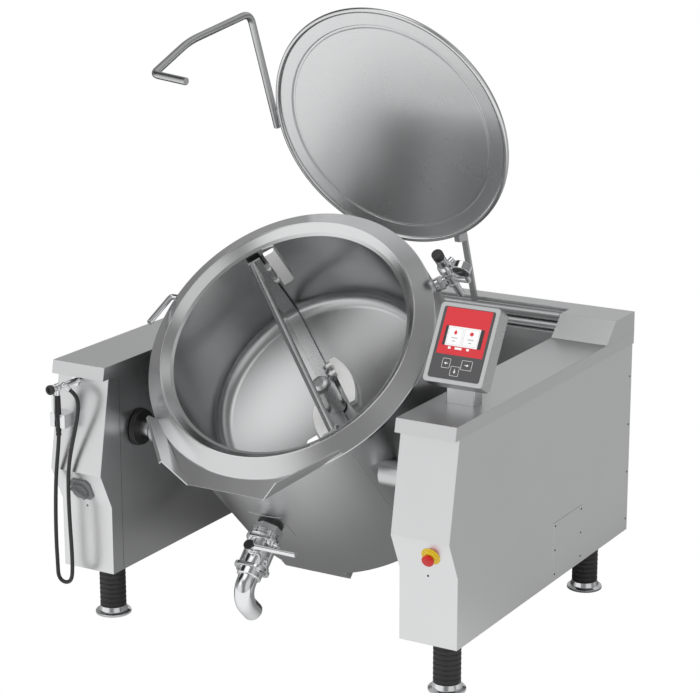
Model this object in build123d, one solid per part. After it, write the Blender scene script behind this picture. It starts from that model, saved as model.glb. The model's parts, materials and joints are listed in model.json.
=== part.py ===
from build123d import *
import math
import os

# Steam jacketed tilting kettle with a bottom-driven stirrer: two columns joined by a rear bridge,
# a jacketed bowl on trunnions between them, a lid on the bridge and a hand shower on the left column.
# X points right, Y points back and Z points up; Y = 0 is the columns' top front edge while building.
# The bowl's own frame has its origin in the middle of the rim, +Z out of the bowl and -Y to the front.

# ---------------------------------------------------------------- driving dimensions (mm, degrees)
working_height = 900.0        # floor to the columns' tops
foot_height = 192.0           # floor to the columns' undersides
column_gap = 1066.0           # clear width between the columns' caps
column_width = 204.0          # over one cap
column_depth = 1276.0         # cap's front edge to its rear face
sheet = 2.0                   # housing sheet
cap_skirt = 43.0              # height of the cap's folded edge
cap_lean = 9.0                # the front skirt's foot in front of its top edge
cap_side = 3.0                # cap past the housing, each side
cap_rear = 3.0                # cap past the housing at the rear
body_setback = 24.0           # housing front behind the cap's top edge
chin_reach = 35.0             # chin in front of the cap's top edge
chin_height = 544.0           # chin above the floor
fold_setback = 21.0           # lower front behind the cap's top edge
fold_height = 422.0           # lower fold above the floor
hood_rise = 68.0              # hood above the column's top
hood_slope = 73.0             # length of the hood's slope
hood_depth = 221.0            # whole hood, front to rear
base_plate = 4.0              # plate that closes a column underneath

foot_front = 147.0            # front feet behind the cap's front edge
foot_rear = 1152.0            # rear feet behind the cap's front edge
sleeve_radius = 44.0          # black ribbed foot sleeve
sleeve_rib = 2.0              # depth of the grooves between ribs
sleeve_ribs = 9               # ribs on one sleeve
base_radius = 60.0            # round foot base
base_height = 28.0            # foot base with its cone
collar_height = 14.0          # bright collar above a sleeve

trunnion_back = 183.0         # tilting axis behind the cap's front edge
trunnion_drop = 243.5         # tilting axis below the columns' tops
shaft_radius = 28.0           # trunnion shaft
shaft_root = 110.0            # shaft's inner end inside the casing's radius
shaft_fit = 0.05              # radial clearance of a shaft in its bearing
seal_radius = 62.0            # black seal round the trunnion shaft
seal_reach = 17.0             # seal out of the column's cap
seal_step = 4.0               # outer half of the seal, smaller by this
bearing_radius = 72.0         # bearing flange inside the column
bearing_depth = 34.0          # bearing length
rest_tilt = 45.4              # how far the kettle is tipped forward at rest

rim_radius = 432.0            # bowl rim's ridge
collar_radius = 489.0         # outer edge of the rim collar
collar_drop = 35.0            # collar's outer edge below the ridge
collar_hem = 12.0             # collar's turned-down edge
bowl_radius = 397.7           # bowl's inner wall
seat_drop = 31.0              # bowl's mouth edge below the ridge
seat_step = 5.0               # steps at the ridge and at the seat
seat_fit = 0.01               # collar's clearance round the bowl
bowl_depth = 450.0            # middle of the bowl's floor below the ridge
knuckle_radius = 60.0         # bowl's wall to floor
knuckle_drop = 345.0          # where the knuckle starts
bowl_wall = 3.0               # bowl's sheet
pivot_forward = 296.0         # tilting axis in front of the bowl's axis
pivot_drop = 222.5            # tilting axis below the rim
jacket_radius = 440.0         # steam jacket's outside
jacket_top = 140.0            # jacket's top edge below the rim
jacket_depth = 500.0          # jacket's lowest point below the rim
jacket_wall = 5.0             # jacket's plate
casing_radius = 488.0         # outer casing
casing_wall = 2.0             # casing's sheet
casing_drop = 697.0           # casing's lower edge below the rim
motor_box_half = 125.0        # stirrer motor cover, half width
motor_box_front = 472.0       # stirrer motor cover's front face before the bowl's axis
motor_box_back = 150.0        # and its rear face behind it
motor_box_depth = 58.0        # motor cover below the casing
box_corner = 25.0             # its rounded corners
motor_radius = 78.0           # stirrer motor
gearbox_radius = 95.0         # stirrer gearbox under the bowl

lip_half = 137.6              # pour lip's half width at its front edge
lip_front = 540.0             # lip's front edge before the bowl's axis
lip_drop = 38.5               # lip's floor below the rim
lip_back_half = 336.0         # half width where the lip's walls meet the collar
lip_sheet = 3.0               # lip's plate
lip_flare = 30.5              # how far a lip wall leans out at the front
lip_sweep = 69.5              # how far the wall's front edge slopes back
lip_rise = 83.0               # lip wall's height at the front
lip_back_rise = 50.0          # lip wall's height at the collar
lip_hem = 11.0                # folded-out top edge of a lip wall

grab_rod = 9.5                # grab handle, rod radius
grab_reach = 27.0             # grab handle out from the collar
grab_length = 131.0           # its bar
grab_back = 103.0             # its welded end behind the bowl's axis
grab_drop = 43.0              # and below the rim
grab_rise = 5.0               # its open end above the rim

drain_drop = 353.0            # drain's axis below the rim
drain_pipe_radius = 30.0      # drain pipe's outside
drain_pipe_bore = 25.0        # drain pipe's bore
drain_plate_half = 61.0       # drain's cover plate, half width
drain_plate_height = 125.0    # and its height
drain_plate_shift = 9.0       # plate's middle below the drain's axis
drain_seal_radius = 42.0      # black seal round the drain pipe
drain_seal_length = 14.0      # seal in front of the casing
drain_nut_flats = 84.0        # hexagon collar across its flats
drain_nut_length = 22.0       # hexagon collar's length
drain_ring_radius = 50.0      # round collar
drain_ring_length = 20.0      # its length
valve_length = 112.0          # ball valve between its collars
valve_flange = 12.0           # valve's end flanges
valve_half_width = 58.0       # over the side barrels, half
barrel_radius = 16.0          # valve's side barrels
ball_radius = 40.0            # valve's round body
outlet_nut_radius = 40.0      # nut under the valve
outlet_nut_length = 24.0      # its length
elbow_radius = 32.0           # outlet elbow's outside
elbow_wall = 2.5              # its wall
elbow_bend = 58.0             # bend of its centre line
elbow_straight = 12.0         # straight piece before the bend
elbow_tail = 46.0             # straight piece after the bend
lever_stem = 66.0             # lever's axle above the drain's axis
lever_cap_radius = 17.0       # black cap on the lever
lever_rod_radius = 8.0        # lever rod
lever_length = 168.0          # lever rod from the valve's middle
lever_gap = 0.3               # clearance under the lever's hub

stirrer_turn = -45.65         # stirrer's parking angle in the bowl
top_bar_drop = 60.0           # stirrer's top tube below the rim
top_bar_radius = 12.0         # its radius
blade_gap = 13.0              # stirrer frame's clearance to the bowl
blade_thick = 8.0             # stirrer frame's flat bar
blade_back = 14.0             # flat bar behind the stirrer's middle plane
blade_front = 30.0            # flat bar in front of it
hub_radius = 35.0             # stirrer hub
hub_drop = 290.0              # hub's top below the rim
drive_radius = 20.0           # stirrer's drive shaft
scraper_pin = 4.0             # scraper hinge pins, radius
scraper_fit = 0.05            # pin's radial clearance
scraper_clear = 1.5           # scraper's running clearance to the bowl
wall_scraper_top = 42.0       # wall scraper's upper edge below the rim
wall_scraper_bottom = 215.0   # its lower edge
wall_scraper_width = 39.0     # across
wall_scraper_thick = 16.0     # thick
floor_scraper_in = 30.0       # floor scraper past the hub's middle
floor_scraper_out = 170.0     # its outer end
floor_scraper_width = 46.0    # across
floor_scraper_thick = 15.0    # thick
scraper_lug = 12.0            # width of a scraper's hinge lugs
lug_radius = 9.0              # round end of a hinge lug

lid_radius = 436.0            # over the rolled rim
lid_open = 70.6               # how far the lid is open at rest
hinge_back = 1177.7           # lid hinge behind the cap's front edge
hinge_rise = 43.3             # lid hinge above the columns' tops
lid_hinge_reach = 698.3       # hinge behind the lid's middle
lid_hinge_rise = 50.0         # hinge above the lid's rim plane
lid_crown = 44.0              # lid's dome above its rim plane
lid_sheet = 2.0               # lid's sheets
lid_roll = 9.0                # rolled rim, radius
lid_disc_radius = 362.0       # inner disc
arm_spread = 185.0            # lid arms from the middle
arm_width = 20.0              # lid arm, across
arm_thick = 12.0              # lid arm, thick
hinge_tube_radius = 18.0      # tube that the lid arms turn on
hinge_pin_radius = 10.0       # its end pins
hinge_pin_fit = 0.05          # their radial clearance
lid_handle_rod = 12.5         # lid's handle, rod radius
handle_root_out = 455.0       # its welded end to the left of the lid's middle
handle_root_back = 45.0       # and behind it
handle_root_rise = 8.0        # and above the rim plane
handle_bend_out = 461.0       # its first bend, to the left
handle_bend_front = 390.0     # before the middle
handle_bend_drop = 5.0        # and below the rim plane
handle_front = 427.0          # its hanging part before the middle
handle_knee_out = 506.0       # the knee in the hanging part
handle_knee_drop = 302.0
handle_foot_out = 494.0       # the lower bend
handle_foot_drop = 535.0
handle_end_out = 350.0        # the free end of the cross piece
handle_end_drop = 563.0
handle_bend = 45.0            # radius of the first bend
handle_knee = 400.0           # radius of the knee
handle_foot = 32.0            # radius of the lower bend
handle_plate_out = 452.0      # weld plate's outer edge, left of the middle
handle_plate_front = 25.0     # its front edge before the middle
handle_plate_back = 35.0      # its rear edge behind it
handle_plate_low = 4.0        # weld plate above the rim plane
handle_plate_thick = 8.0

bridge_front = 1150.0         # bridge's front face behind the cap's front edge
bridge_foot_drop = 240.0      # bridge's underside below the columns' tops
shelf_drop = 7.0              # shelf under the lid hinge below the columns' tops
bridge_back_wall = 1200.0     # wall behind the lid hinge
fixed_tube_drop = 35.3        # fixed tube below the lid hinge
fixed_tube_radius = 14.5      # fixed tube
side_gap = 0.3                # clearance between the lid's tube and the columns' hoods

post_width = 95.0             # control post
post_depth = 55.0
post_front = 213.0            # post's front face behind the cap's front edge
panel_width = 203.0           # control box
panel_height = 251.0
panel_thick = 58.0
panel_lean = 30.0             # how far the box leans back
panel_front = 155.0           # its lower front edge behind the cap's front edge
panel_rise = 78.0             # and above the column's top
panel_corner = 14.0
glass_width = 172.0           # dark glass front
glass_height = 223.0
glass_foot = 14.5             # glass above the box's lower edge
glass_thick = 2.0

estop_ring_radius = 31.0
estop_ring_thick = 3.0
estop_head_radius = 19.5
estop_head_length = 14.0
estop_neck_radius = 12.0
estop_reach = 29.0            # head's face above the chin
estop_travel = 5.0
isolator_half = 39.0          # isolator's plate, half width
isolator_thick = 8.0
isolator_knob_radius = 27.0
isolator_handle = 62.0        # bar across its knob
isolator_bar = 12.0           # bar's width
isolator_turn = -40.0         # its parking angle

hose_radius = 6.5             # spray hose
hose_plane = -50.0            # Y of the plane that the hose hangs in, before the cap's front edge
hose_outlet_x = -657.0        # hose outlet on the left column
hose_outlet_drop = 62.0       # below the column's top
gun_x = -686.0                # spray gun's grip
gun_foot_drop = 216.0         # grip's lower end below the column's top
gun_length = 116.0            # grip's length
grip_radius = 10.5
grip_ribs = 6                 # ribs on the grip's lower half
grip_rib = 1.2                # depth of the grooves between them

water_pipe_radius = 13.2      # water inlet under the left column
water_pipe_length = 40.0
water_pipe_wall = 3.0

# ---------------------------------------------------------------- places worked out from them
inner_x = column_gap / 2
outer_x = inner_x + column_width
mid_x = (inner_x + outer_x) / 2
body_inner_x = inner_x + cap_side
body_outer_x = outer_x - cap_side
body_rear = column_depth - cap_rear
skirt_foot = working_height - cap_skirt
hood_top = working_height + hood_rise
trunnion_height = working_height - trunnion_drop
hinge_height = working_height + hinge_rise
bridge_foot = working_height - bridge_foot_drop
bridge_shelf = working_height - shelf_drop
panel_bottom = working_height + panel_rise
hose_outlet_height = working_height - hose_outlet_drop
gun_foot = working_height - gun_foot_drop
gun_top = gun_foot + gun_length
motor_box_drop = casing_drop + motor_box_depth
motor_box_corner = min(box_corner, 0.45 * motor_box_depth)

kettle_pose = (
    Pos(0, trunnion_back, trunnion_height)
    * Rot(rest_tilt, 0, 0)
    * Pos(0, pivot_forward, pivot_drop)
)
stirrer_pose = kettle_pose * Rot(0, 0, stirrer_turn)
lid_pose = (
    Pos(0, hinge_back, hinge_height)
    * Rot(-lid_open, 0, 0)
    * Pos(0, -lid_hinge_reach, -lid_hinge_rise)
)

os.makedirs("parts", exist_ok=True)
nodes = {}


# ---------------------------------------------------------------- helpers
def put(name, shapes, pose=None):
    """Keep one or more solids as a named piece."""
    shapes = shapes if isinstance(shapes, list) else [shapes]
    if pose is not None:
        shapes = [pose * shape for shape in shapes]
    nodes[name] = shapes


def mirrored(shape):
    """The same shape on the other side of the machine."""
    return mirror(shape, Plane.YZ)


def side_prism(outline, x_from, x_to):
    """Outline of (y, z) points carried along X."""
    points = [(x_from, y, z) for y, z in outline]
    face = make_face(Polyline(points, close=True))
    return extrude(face, amount=x_to - x_from, dir=(1, 0, 0))


def turned(outline):
    """Outline of (radius, height) points turned about Z."""
    points = [(radius, 0, height) for radius, height in outline]
    return revolve(make_face(Polyline(points, close=True)), Axis.Z)


def block(x_from, x_to, y_from, y_to, z_from, z_to):
    """Box between two corners."""
    size = (x_to - x_from, y_to - y_from, z_to - z_from)
    middle = ((x_from + x_to) / 2, (y_from + y_to) / 2, (z_from + z_to) / 2)
    return Pos(*middle) * Box(*size)


def rod(start, end, radius):
    """Round bar between two points."""
    start, end = Vector(*start), Vector(*end)
    run = end - start
    plane = Plane(origin=start, z_dir=run)
    return plane * extrude(Circle(radius), amount=run.length)


def ring(radius, bore, z_from, z_to):
    """Round ring or sleeve about Z."""
    solid = Cylinder(radius, z_to - z_from) - Cylinder(bore, z_to - z_from)
    return Pos(0, 0, (z_from + z_to) / 2) * solid


def disc(radius, z_from, z_to):
    """Round disc about Z."""
    return Pos(0, 0, (z_from + z_to) / 2) * Cylinder(radius, z_to - z_from)


def hexagon(flats, z_from, z_to):
    """Hexagonal bar about Z, by its width across the flats."""
    outline = RegularPolygon(flats / math.sqrt(3), 6)
    return Pos(0, 0, z_from) * extrude(outline, amount=z_to - z_from)


def bent_bar(points, corner_radii, radius, bore=0.0):
    """Round bar, or tube with a bore, along straight runs and tangent bends."""
    path = FilletPolyline(*points, radius=corner_radii)
    plane = Plane(origin=path @ 0, z_dir=path % 0)
    bar = sweep(plane * Circle(radius), path=path)
    if bore:
        bar -= sweep(plane * Circle(bore), path=path)
    return bar


# ---------------------------------------------------------------- columns
def column_outline(wall, overrun):
    """Side view of a column's housing, moved in by a wall and run past its open ends."""
    return [
        (fold_setback + wall, foot_height - overrun),
        (fold_setback + wall, fold_height),
        (wall - chin_reach, chin_height),
        (body_setback + wall, skirt_foot),
        (body_setback + wall, working_height - sheet + overrun),
        (body_rear - wall, working_height - sheet + overrun),
        (body_rear - wall, foot_height - overrun),
    ]


def column_shell():
    """Folded housing, open above and below, with a hole for the trunnion shaft."""
    shell = side_prism(column_outline(0, 0), body_inner_x, body_outer_x)
    room = side_prism(column_outline(sheet, 1), body_inner_x + sheet, body_outer_x - sheet)
    hole = rod(
        (inner_x, trunnion_back, trunnion_height),
        (body_inner_x + 2 * sheet, trunnion_back, trunnion_height),
        shaft_radius + sheet,
    )
    return shell - room - hole


def column_cap():
    """Flat top with turned-down edges."""
    outside = [(-cap_lean, skirt_foot), (0, working_height), (column_depth, working_height)]
    outside.append((column_depth, skirt_foot))
    inside = [
        (sheet - cap_lean, skirt_foot - 1),
        (sheet, working_height - sheet),
        (column_depth - sheet, working_height - sheet),
        (column_depth - sheet, skirt_foot - 1),
    ]
    cap = side_prism(outside, inner_x, outer_x)
    return cap - side_prism(inside, inner_x + sheet, outer_x - sheet)


def column_hood():
    """Sloped hood at the rear of a column's top, open underneath."""
    front = column_depth - hood_depth
    outside = [
        (front, working_height),
        (front + hood_slope, hood_top),
        (column_depth, hood_top),
        (column_depth, working_height),
    ]
    inside = [
        (front + 2 * sheet, working_height - 1),
        (front + hood_slope + sheet, hood_top - sheet),
        (column_depth - sheet, hood_top - sheet),
        (column_depth - sheet, working_height - 1),
    ]
    hood = side_prism(outside, inner_x, outer_x)
    return hood - side_prism(inside, inner_x + sheet, outer_x - sheet)


def column_base():
    """Plate that closes a column underneath and carries its feet."""
    wall = sheet
    return block(
        body_inner_x + wall, body_outer_x - wall,
        fold_setback + wall, body_rear - wall,
        foot_height, foot_height + base_plate,
    )


def at_feet(shape):
    """Copies of a shape made on the origin, one under each end of each column."""
    places = [(x, y) for x in (mid_x, -mid_x) for y in (foot_front, foot_rear)]
    return [Pos(x, y, 0) * shape for x, y in places]


def foot_sleeve():
    """Black sleeve with turned grooves between its ribs."""
    foot = base_height
    top = foot_height - collar_height
    pitch = (top - foot) / sleeve_ribs
    outline = [(sleeve_radius - 3 * sleeve_rib, foot), (sleeve_radius, foot)]
    for index in range(1, sleeve_ribs):
        groove = foot + index * pitch
        outline.append((sleeve_radius, groove - sleeve_rib))
        outline.append((sleeve_radius - sleeve_rib, groove))
        outline.append((sleeve_radius, groove + sleeve_rib))
    outline.append((sleeve_radius, top))
    outline.append((sleeve_radius - 3 * sleeve_rib, top))
    return turned(outline)


def foot_base():
    """Round base with a cone, and the spindle that rises through the sleeve."""
    neck = sleeve_radius - 3 * sleeve_rib
    outline = [(0, 0), (base_radius, 0), (base_radius, base_height / 4)]
    outline += [(sleeve_radius, base_height), (neck / 2, base_height)]
    outline += [(neck / 2, foot_height), (0, foot_height)]
    return turned(outline)


def foot_collar():
    """Bright collar between the sleeve and the column."""
    top = foot_height
    edge = collar_height / 4
    bore = (sleeve_radius - 3 * sleeve_rib) / 2
    outline = [(bore, top - collar_height), (sleeve_radius, top - collar_height)]
    outline += [(sleeve_radius + edge, top - edge), (sleeve_radius + edge, top), (bore, top)]
    return turned(outline)


put("column_shell_right", column_shell())
put("column_shell_left", mirrored(column_shell()))
put("column_cap_right", [column_cap(), column_hood()])
put("column_cap_left", [mirrored(column_cap()), mirrored(column_hood())])
put("column_bases", [column_base(), mirrored(column_base())])
put("foot_sleeves", at_feet(foot_sleeve()))
put("foot_bases", at_feet(foot_base()) + at_feet(foot_collar()))

# ---------------------------------------------------------------- service panel on the right column
panel_y = (681.0, 901.0)      # service panel, front and rear edges
panel_z = (205.0, 394.0)      # lower and upper edges
panel_sheet = 1.5


def service_panel():
    """Screwed cover over the tilting gear."""
    return block(body_outer_x, body_outer_x + panel_sheet, *panel_y, *panel_z)


put("service_panel", service_panel())


# ---------------------------------------------------------------- rear bridge
def bridge_outline(wall):
    """Side view of the box that joins the columns, moved in by a wall."""
    rear = column_depth - wall
    return [
        (bridge_front + wall, bridge_foot + wall),
        (bridge_front + wall, bridge_shelf - wall),
        (bridge_back_wall + wall, bridge_shelf - wall),
        (bridge_back_wall + wall, hood_top - wall),
        (rear, hood_top - wall),
        (rear, bridge_foot + wall),
    ]


def rear_bridge():
    """Hollow beam between the columns, with a shelf for the lid's hinge."""
    beam = side_prism(bridge_outline(0), -inner_x, inner_x)
    return beam - side_prism(bridge_outline(sheet), -inner_x - 1, inner_x + 1)


strip_proud = 3.0             # front strip out of the bridge
strip_height = 39.0           # front strip below the shelf


def bridge_strip():
    """Folded strip along the bridge's shelf."""
    back = bridge_front
    return block(-inner_x, inner_x, back - strip_proud, back, bridge_shelf - strip_height, bridge_shelf)


def fixed_tube():
    """Tube under the lid hinge that carries the hinge brackets, end to end."""
    height = hinge_height - fixed_tube_drop
    return rod((-inner_x, hinge_back, height), (inner_x, hinge_back, height), fixed_tube_radius)


bearing_block = 22.0          # hinge bearing out from a hood


def lid_bearing():
    """Bearing for the lid's end pin, on the inner side of a hood."""
    start = inner_x - bearing_block
    outer = rod((start, hinge_back, hinge_height), (inner_x, hinge_back, hinge_height), hinge_tube_radius)
    bore = hinge_pin_radius + hinge_pin_fit
    return outer - rod((start - 1, hinge_back, hinge_height), (inner_x + 1, hinge_back, hinge_height), bore)


put("rear_bridge", [rear_bridge(), bridge_strip(), fixed_tube()])
put("lid_bearings", [lid_bearing(), mirrored(lid_bearing())])


# ---------------------------------------------------------------- trunnion bearings, drive and supply
def across(x_from, x_to, radius, bore=0.0):
    """Round piece about the tilting axis, with an optional bore."""
    start = (x_from, trunnion_back, trunnion_height)
    end = (x_to, trunnion_back, trunnion_height)
    piece = rod(start, end, radius)
    if bore:
        longer = ((x_from - 1, *start[1:]), (x_to + 1, *end[1:]))
        piece -= rod(*longer, bore)
    return piece


bearing_bore = shaft_radius + shaft_fit
bearing_start = body_inner_x + sheet
drive_start = bearing_start + bearing_depth
shaft_tail = 60.0             # trunnion shaft past its bearing
shaft_end = drive_start + shaft_tail
barrel_step = 4.0             # bearing barrel's wall under a shaft's own diameter
drive_width = 74.0            # hollow-shaft gearbox along the tilting axis
drive_half = 62.0             # its half height and half depth
tilt_motor_radius = 45.0
tilt_motor_length = 190.0


def trunnion_bearing():
    """Flanged bearing on the inside of a column."""
    flange = across(bearing_start, bearing_start + bearing_depth / 2, bearing_radius, bearing_bore)
    barrel = across(bearing_start, drive_start, 2 * shaft_radius - barrel_step, bearing_bore)
    return flange + barrel


def trunnion_seal():
    """Black ring that fills the gap between the column and the kettle."""
    start = inner_x - seal_reach
    bore = shaft_radius + side_gap
    step = across(start, inner_x - seal_reach / 2, seal_radius - seal_step, bore)
    return step + across(inner_x - seal_reach / 2, body_inner_x, seal_radius, bore)


def tilt_gearbox():
    """Worm gearbox that turns the right-hand trunnion shaft."""
    case = block(
        drive_start, drive_start + drive_width,
        trunnion_back - drive_half, trunnion_back + drive_half,
        trunnion_height - drive_half, trunnion_height + drive_half,
    )
    case = fillet(case.edges().filter_by(Axis.X), drive_half / 4)
    return case - across(drive_start - 1, drive_start + drive_width + 1, bearing_bore)


def tilt_motor():
    """Motor behind the worm gearbox, with its end cover."""
    middle = drive_start + drive_width / 2
    front = trunnion_back + drive_half
    cover = (middle, front + tilt_motor_length, trunnion_height)
    tail = (middle, front + tilt_motor_length + drive_half / 3, trunnion_height)
    body = rod((middle, front, trunnion_height), cover, tilt_motor_radius)
    return body + rod(cover, tail, tilt_motor_radius - 3 * sheet)


def supply_union():
    """Rotary union on the left-hand trunnion that passes steam and water into the kettle."""
    union = across(drive_start, drive_start + drive_width, drive_half / 1.3, bearing_bore)
    middle = drive_start + drive_width / 2
    low = trunnion_height - drive_half / 1.3
    top = (middle, trunnion_back, low + 2 * sheet)
    return union + rod(top, (middle, trunnion_back, low - drive_half), water_pipe_radius)


put("trunnion_bearings", [trunnion_bearing(), mirrored(trunnion_bearing())])
put("trunnion_seals", [trunnion_seal(), mirrored(trunnion_seal())])
put("tilt_drive", [tilt_gearbox(), tilt_motor()])

cabinet_depth = 260.0         # electrics box in the left column
cabinet_height = 320.0
water_pipe_y = 900.0          # water inlet behind the cap's front edge


def electrics_box():
    """Switchgear box inside the left column."""
    front = foot_rear - cabinet_depth
    low = foot_height + base_plate
    inner, outer = body_inner_x + 2 * sheet, body_outer_x - 2 * sheet
    box = block(inner, outer, front, foot_rear, low, low + cabinet_height)
    return fillet(box.edges().filter_by(Axis.Z), 3 * sheet)


def water_inlet():
    """Threaded pipe end under the left column, with its lock nut."""
    low = foot_height - water_pipe_length
    bore = water_pipe_radius - water_pipe_wall
    pipe = ring(water_pipe_radius, bore, low, foot_height)
    nut = hexagon(2.6 * water_pipe_radius, foot_height - 2 * base_plate, foot_height)
    return Pos(mid_x, water_pipe_y, 0) * (pipe + (nut - disc(bore, 0, foot_height)))


front_box = electrics_box()
put("electrics_box", mirrored(Pos(0, -cabinet_depth / 2, 0) * front_box))
put("supply_pipes", [mirrored(supply_union()), mirrored(water_inlet())])


# ---------------------------------------------------------------- control box on its post
lean = math.radians(panel_lean)
panel_plane = Plane(
    origin=(mid_x, panel_front, panel_bottom),
    x_dir=(1, 0, 0),
    z_dir=(0, -math.cos(lean), math.sin(lean)),
)


def on_panel(width, height, foot, thick, corner, sink=0.0, across_by=0.0):
    """Rounded plate on the control box's face, by its size and its foot above the lower edge."""
    outline = Pos(across_by, foot + height / 2) * RectangleRounded(width, height, corner)
    return panel_plane * (Pos(0, 0, -sink) * extrude(outline, amount=thick))


def control_box():
    """Rounded box that leans back, with a recess for its glass."""
    box = Pos(0, panel_height / 2, -panel_thick / 2) * Box(panel_width, panel_height, panel_thick)
    box = fillet(box.edges().filter_by(Axis.Z), panel_corner)
    front = box.faces().sort_by(Axis.Z)[-1]
    box = fillet(front.edges(), sheet)
    return panel_plane * box - on_panel(
        glass_width + side_gap, glass_height + side_gap, glass_foot - side_gap / 2,
        glass_thick, panel_corner / 2, glass_thick,
    )


def control_post():
    """Hollow post between the column's cap and the back of the control box."""
    half = post_width / 2
    height = panel_height + panel_bottom - working_height
    outline = RectangleRounded(post_width, post_depth, 2 * sheet) - RectangleRounded(
        post_width - 2 * sheet, post_depth - 2 * sheet, sheet
    )
    post = Pos(mid_x, post_front + post_depth / 2, working_height) * extrude(outline, amount=height)
    back = panel_plane * (Pos(0, 0, -panel_thick + half * 20) * Box(40 * half, 40 * half, 40 * half))
    return post - back


put("control_post", control_post())
put("control_box", control_box())
glass = on_panel(glass_width, glass_height, glass_foot, glass_thick, panel_corner / 2, glass_thick)
put("control_glass", glass)


# ---------------------------------------------------------------- stop button and main switch on the chins
chin_run = Vector(0, fold_setback + chin_reach, fold_height - chin_height)
chin_middle = Vector(mid_x, (fold_setback - chin_reach) / 2, (fold_height + chin_height) / 2)
chin_normal = Vector(0, chin_run.Z, -chin_run.Y).normalized()
chin_plane = Plane(origin=chin_middle, x_dir=(1, 0, 0), z_dir=chin_normal)
estop_x = 25.0                # stop button to the right of the column's middle
estop_y = 9.0                 # and above the chin plane's middle
isolator_x = -2.0             # main switch from the column's middle, to the outside
isolator_y = -3.0


def estop_base():
    """Yellow ring and the threaded neck behind it."""
    plate = ring(estop_ring_radius, estop_neck_radius + scraper_fit, 0, estop_ring_thick)
    neck = ring(
        estop_neck_radius + 3 * sheet, estop_neck_radius + scraper_fit,
        estop_ring_thick, estop_reach - estop_head_length - estop_travel - side_gap,
    )
    return chin_plane * (Pos(estop_x, estop_y, 0) * (plate + neck))


def estop_head():
    """Red mushroom head with its stem."""
    stem_foot = estop_travel + side_gap
    low = estop_reach - estop_head_length
    rim = estop_head_length / 4
    outline = [(0, stem_foot), (estop_neck_radius, stem_foot), (estop_neck_radius, low)]
    outline += [(estop_head_radius - rim, low)]
    outline += [(estop_head_radius, low + rim), (estop_head_radius, estop_reach - rim)]
    outline += [(estop_head_radius - rim, estop_reach), (0, estop_reach)]
    return chin_plane * (Pos(estop_x, estop_y, 0) * turned(outline))


def isolator_base():
    """Plate with cut corners and a round boss."""
    plate = Pos(0, 0, isolator_thick / 2) * Box(2 * isolator_half, 2 * isolator_half, isolator_thick)
    plate = chamfer(plate.edges().filter_by(Axis.Z), isolator_half / 3)
    plate = fillet(plate.faces().sort_by(Axis.Z)[-1].edges(), sheet)
    return plate


def isolator_knob():
    """Round knob with a bar handle."""
    low = isolator_thick + side_gap
    knob = disc(isolator_knob_radius, low, low + isolator_thick)
    bar = Pos(0, 0, low + isolator_thick) * Box(isolator_handle, isolator_bar, 3 * isolator_thick)
    bar = fillet(bar.edges().filter_by(Axis.Z), sheet + 1)
    return knob + (bar - disc(isolator_handle, low - 4 * isolator_thick, low))


left_chin = Plane(
    origin=(-chin_middle.X - isolator_x, chin_middle.Y, chin_middle.Z),
    x_dir=(1, 0, 0),
    z_dir=chin_normal,
) * Pos(0, isolator_y, 0)
put("estop_base", estop_base())
put("estop_head", estop_head())
put("isolator_base", left_chin * isolator_base())
put("isolator_knob", left_chin * (Rot(0, 0, isolator_turn) * isolator_knob()))


# ---------------------------------------------------------------- kettle body
def dish(radius, knuckle, depth, knuckle_from, top, inset=0.0):
    """Half section of a round vessel: straight wall, knuckle and shallow dished floor."""
    arm = radius - knuckle
    drop = depth - knuckle_from
    crown = (arm**2 + drop**2 - knuckle**2) / (2 * (drop - knuckle))
    crown_centre = Vector(0, 0, crown - depth)
    knuckle_centre = Vector(arm, 0, -knuckle_from)
    toward = (knuckle_centre - crown_centre).normalized()
    join = crown_centre + toward * (crown - inset)
    floor = Vector(0, 0, inset - depth)
    half_angle = math.atan2(toward.X, -toward.Z) / 2
    on_floor = crown_centre + Vector(math.sin(half_angle), 0, -math.cos(half_angle)) * (crown - inset)
    side = Vector(radius - inset, 0, -knuckle_from)
    turn = (math.atan2(toward.Z, toward.X)) / 2
    on_knuckle = knuckle_centre + Vector(math.cos(turn), 0, math.sin(turn)) * (knuckle - inset)
    upper = Vector(radius - inset, 0, -top)
    axis_top = Vector(0, 0, -top)
    edges = [
        ThreePointArc(floor, on_floor, join),
        ThreePointArc(join, on_knuckle, side),
        Line(side, upper),
        Line(upper, axis_top),
        Line(axis_top, floor),
    ]
    return make_face(Wire(edges))


def vessel(radius, knuckle, depth, knuckle_from, top, wall):
    """Round vessel with a wall outside the given size, open at the top."""
    outside = dish(radius, knuckle, depth, knuckle_from, top, -wall)
    inside = dish(radius, knuckle, depth, knuckle_from, top - 1)
    return revolve(outside, Axis.Z) - revolve(inside, Axis.Z)


def forward(x, before, drop):
    """Plane that faces the kettle's front, at a distance before its axis and below its rim."""
    return Plane(origin=(x, -before, -drop), x_dir=(1, 0, 0), z_dir=(0, -1, 0))


drain_hole = forward(0, bowl_radius / 2, drain_drop) * extrude(
    Circle(drain_pipe_radius), amount=casing_radius
)
stirrer_seal_radius = drive_radius + 6.0
drive_hole = disc(stirrer_seal_radius, -casing_drop, 0)


def bowl():
    """Inner vessel, with its drain opening and a hole for the stirrer's drive."""
    shape = vessel(bowl_radius, knuckle_radius, bowl_depth, knuckle_drop, seat_drop, bowl_wall)
    return shape - drain_hole - drive_hole


def jacket():
    """Steam jacket round the lower bowl, closed to it at its top edge."""
    outside = dish(
        jacket_radius - jacket_wall, knuckle_radius * 1.5, jacket_depth - jacket_wall,
        knuckle_drop, jacket_top, -jacket_wall,
    )
    inside = dish(
        jacket_radius - jacket_wall, knuckle_radius * 1.5, jacket_depth - jacket_wall,
        knuckle_drop, jacket_top + jacket_wall,
    )
    shape = revolve(outside, Axis.Z) - revolve(inside, Axis.Z)
    shape -= disc(bowl_radius + bowl_wall, -jacket_top - 2 * jacket_wall, 0)
    return shape - drain_hole - drive_hole


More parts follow.
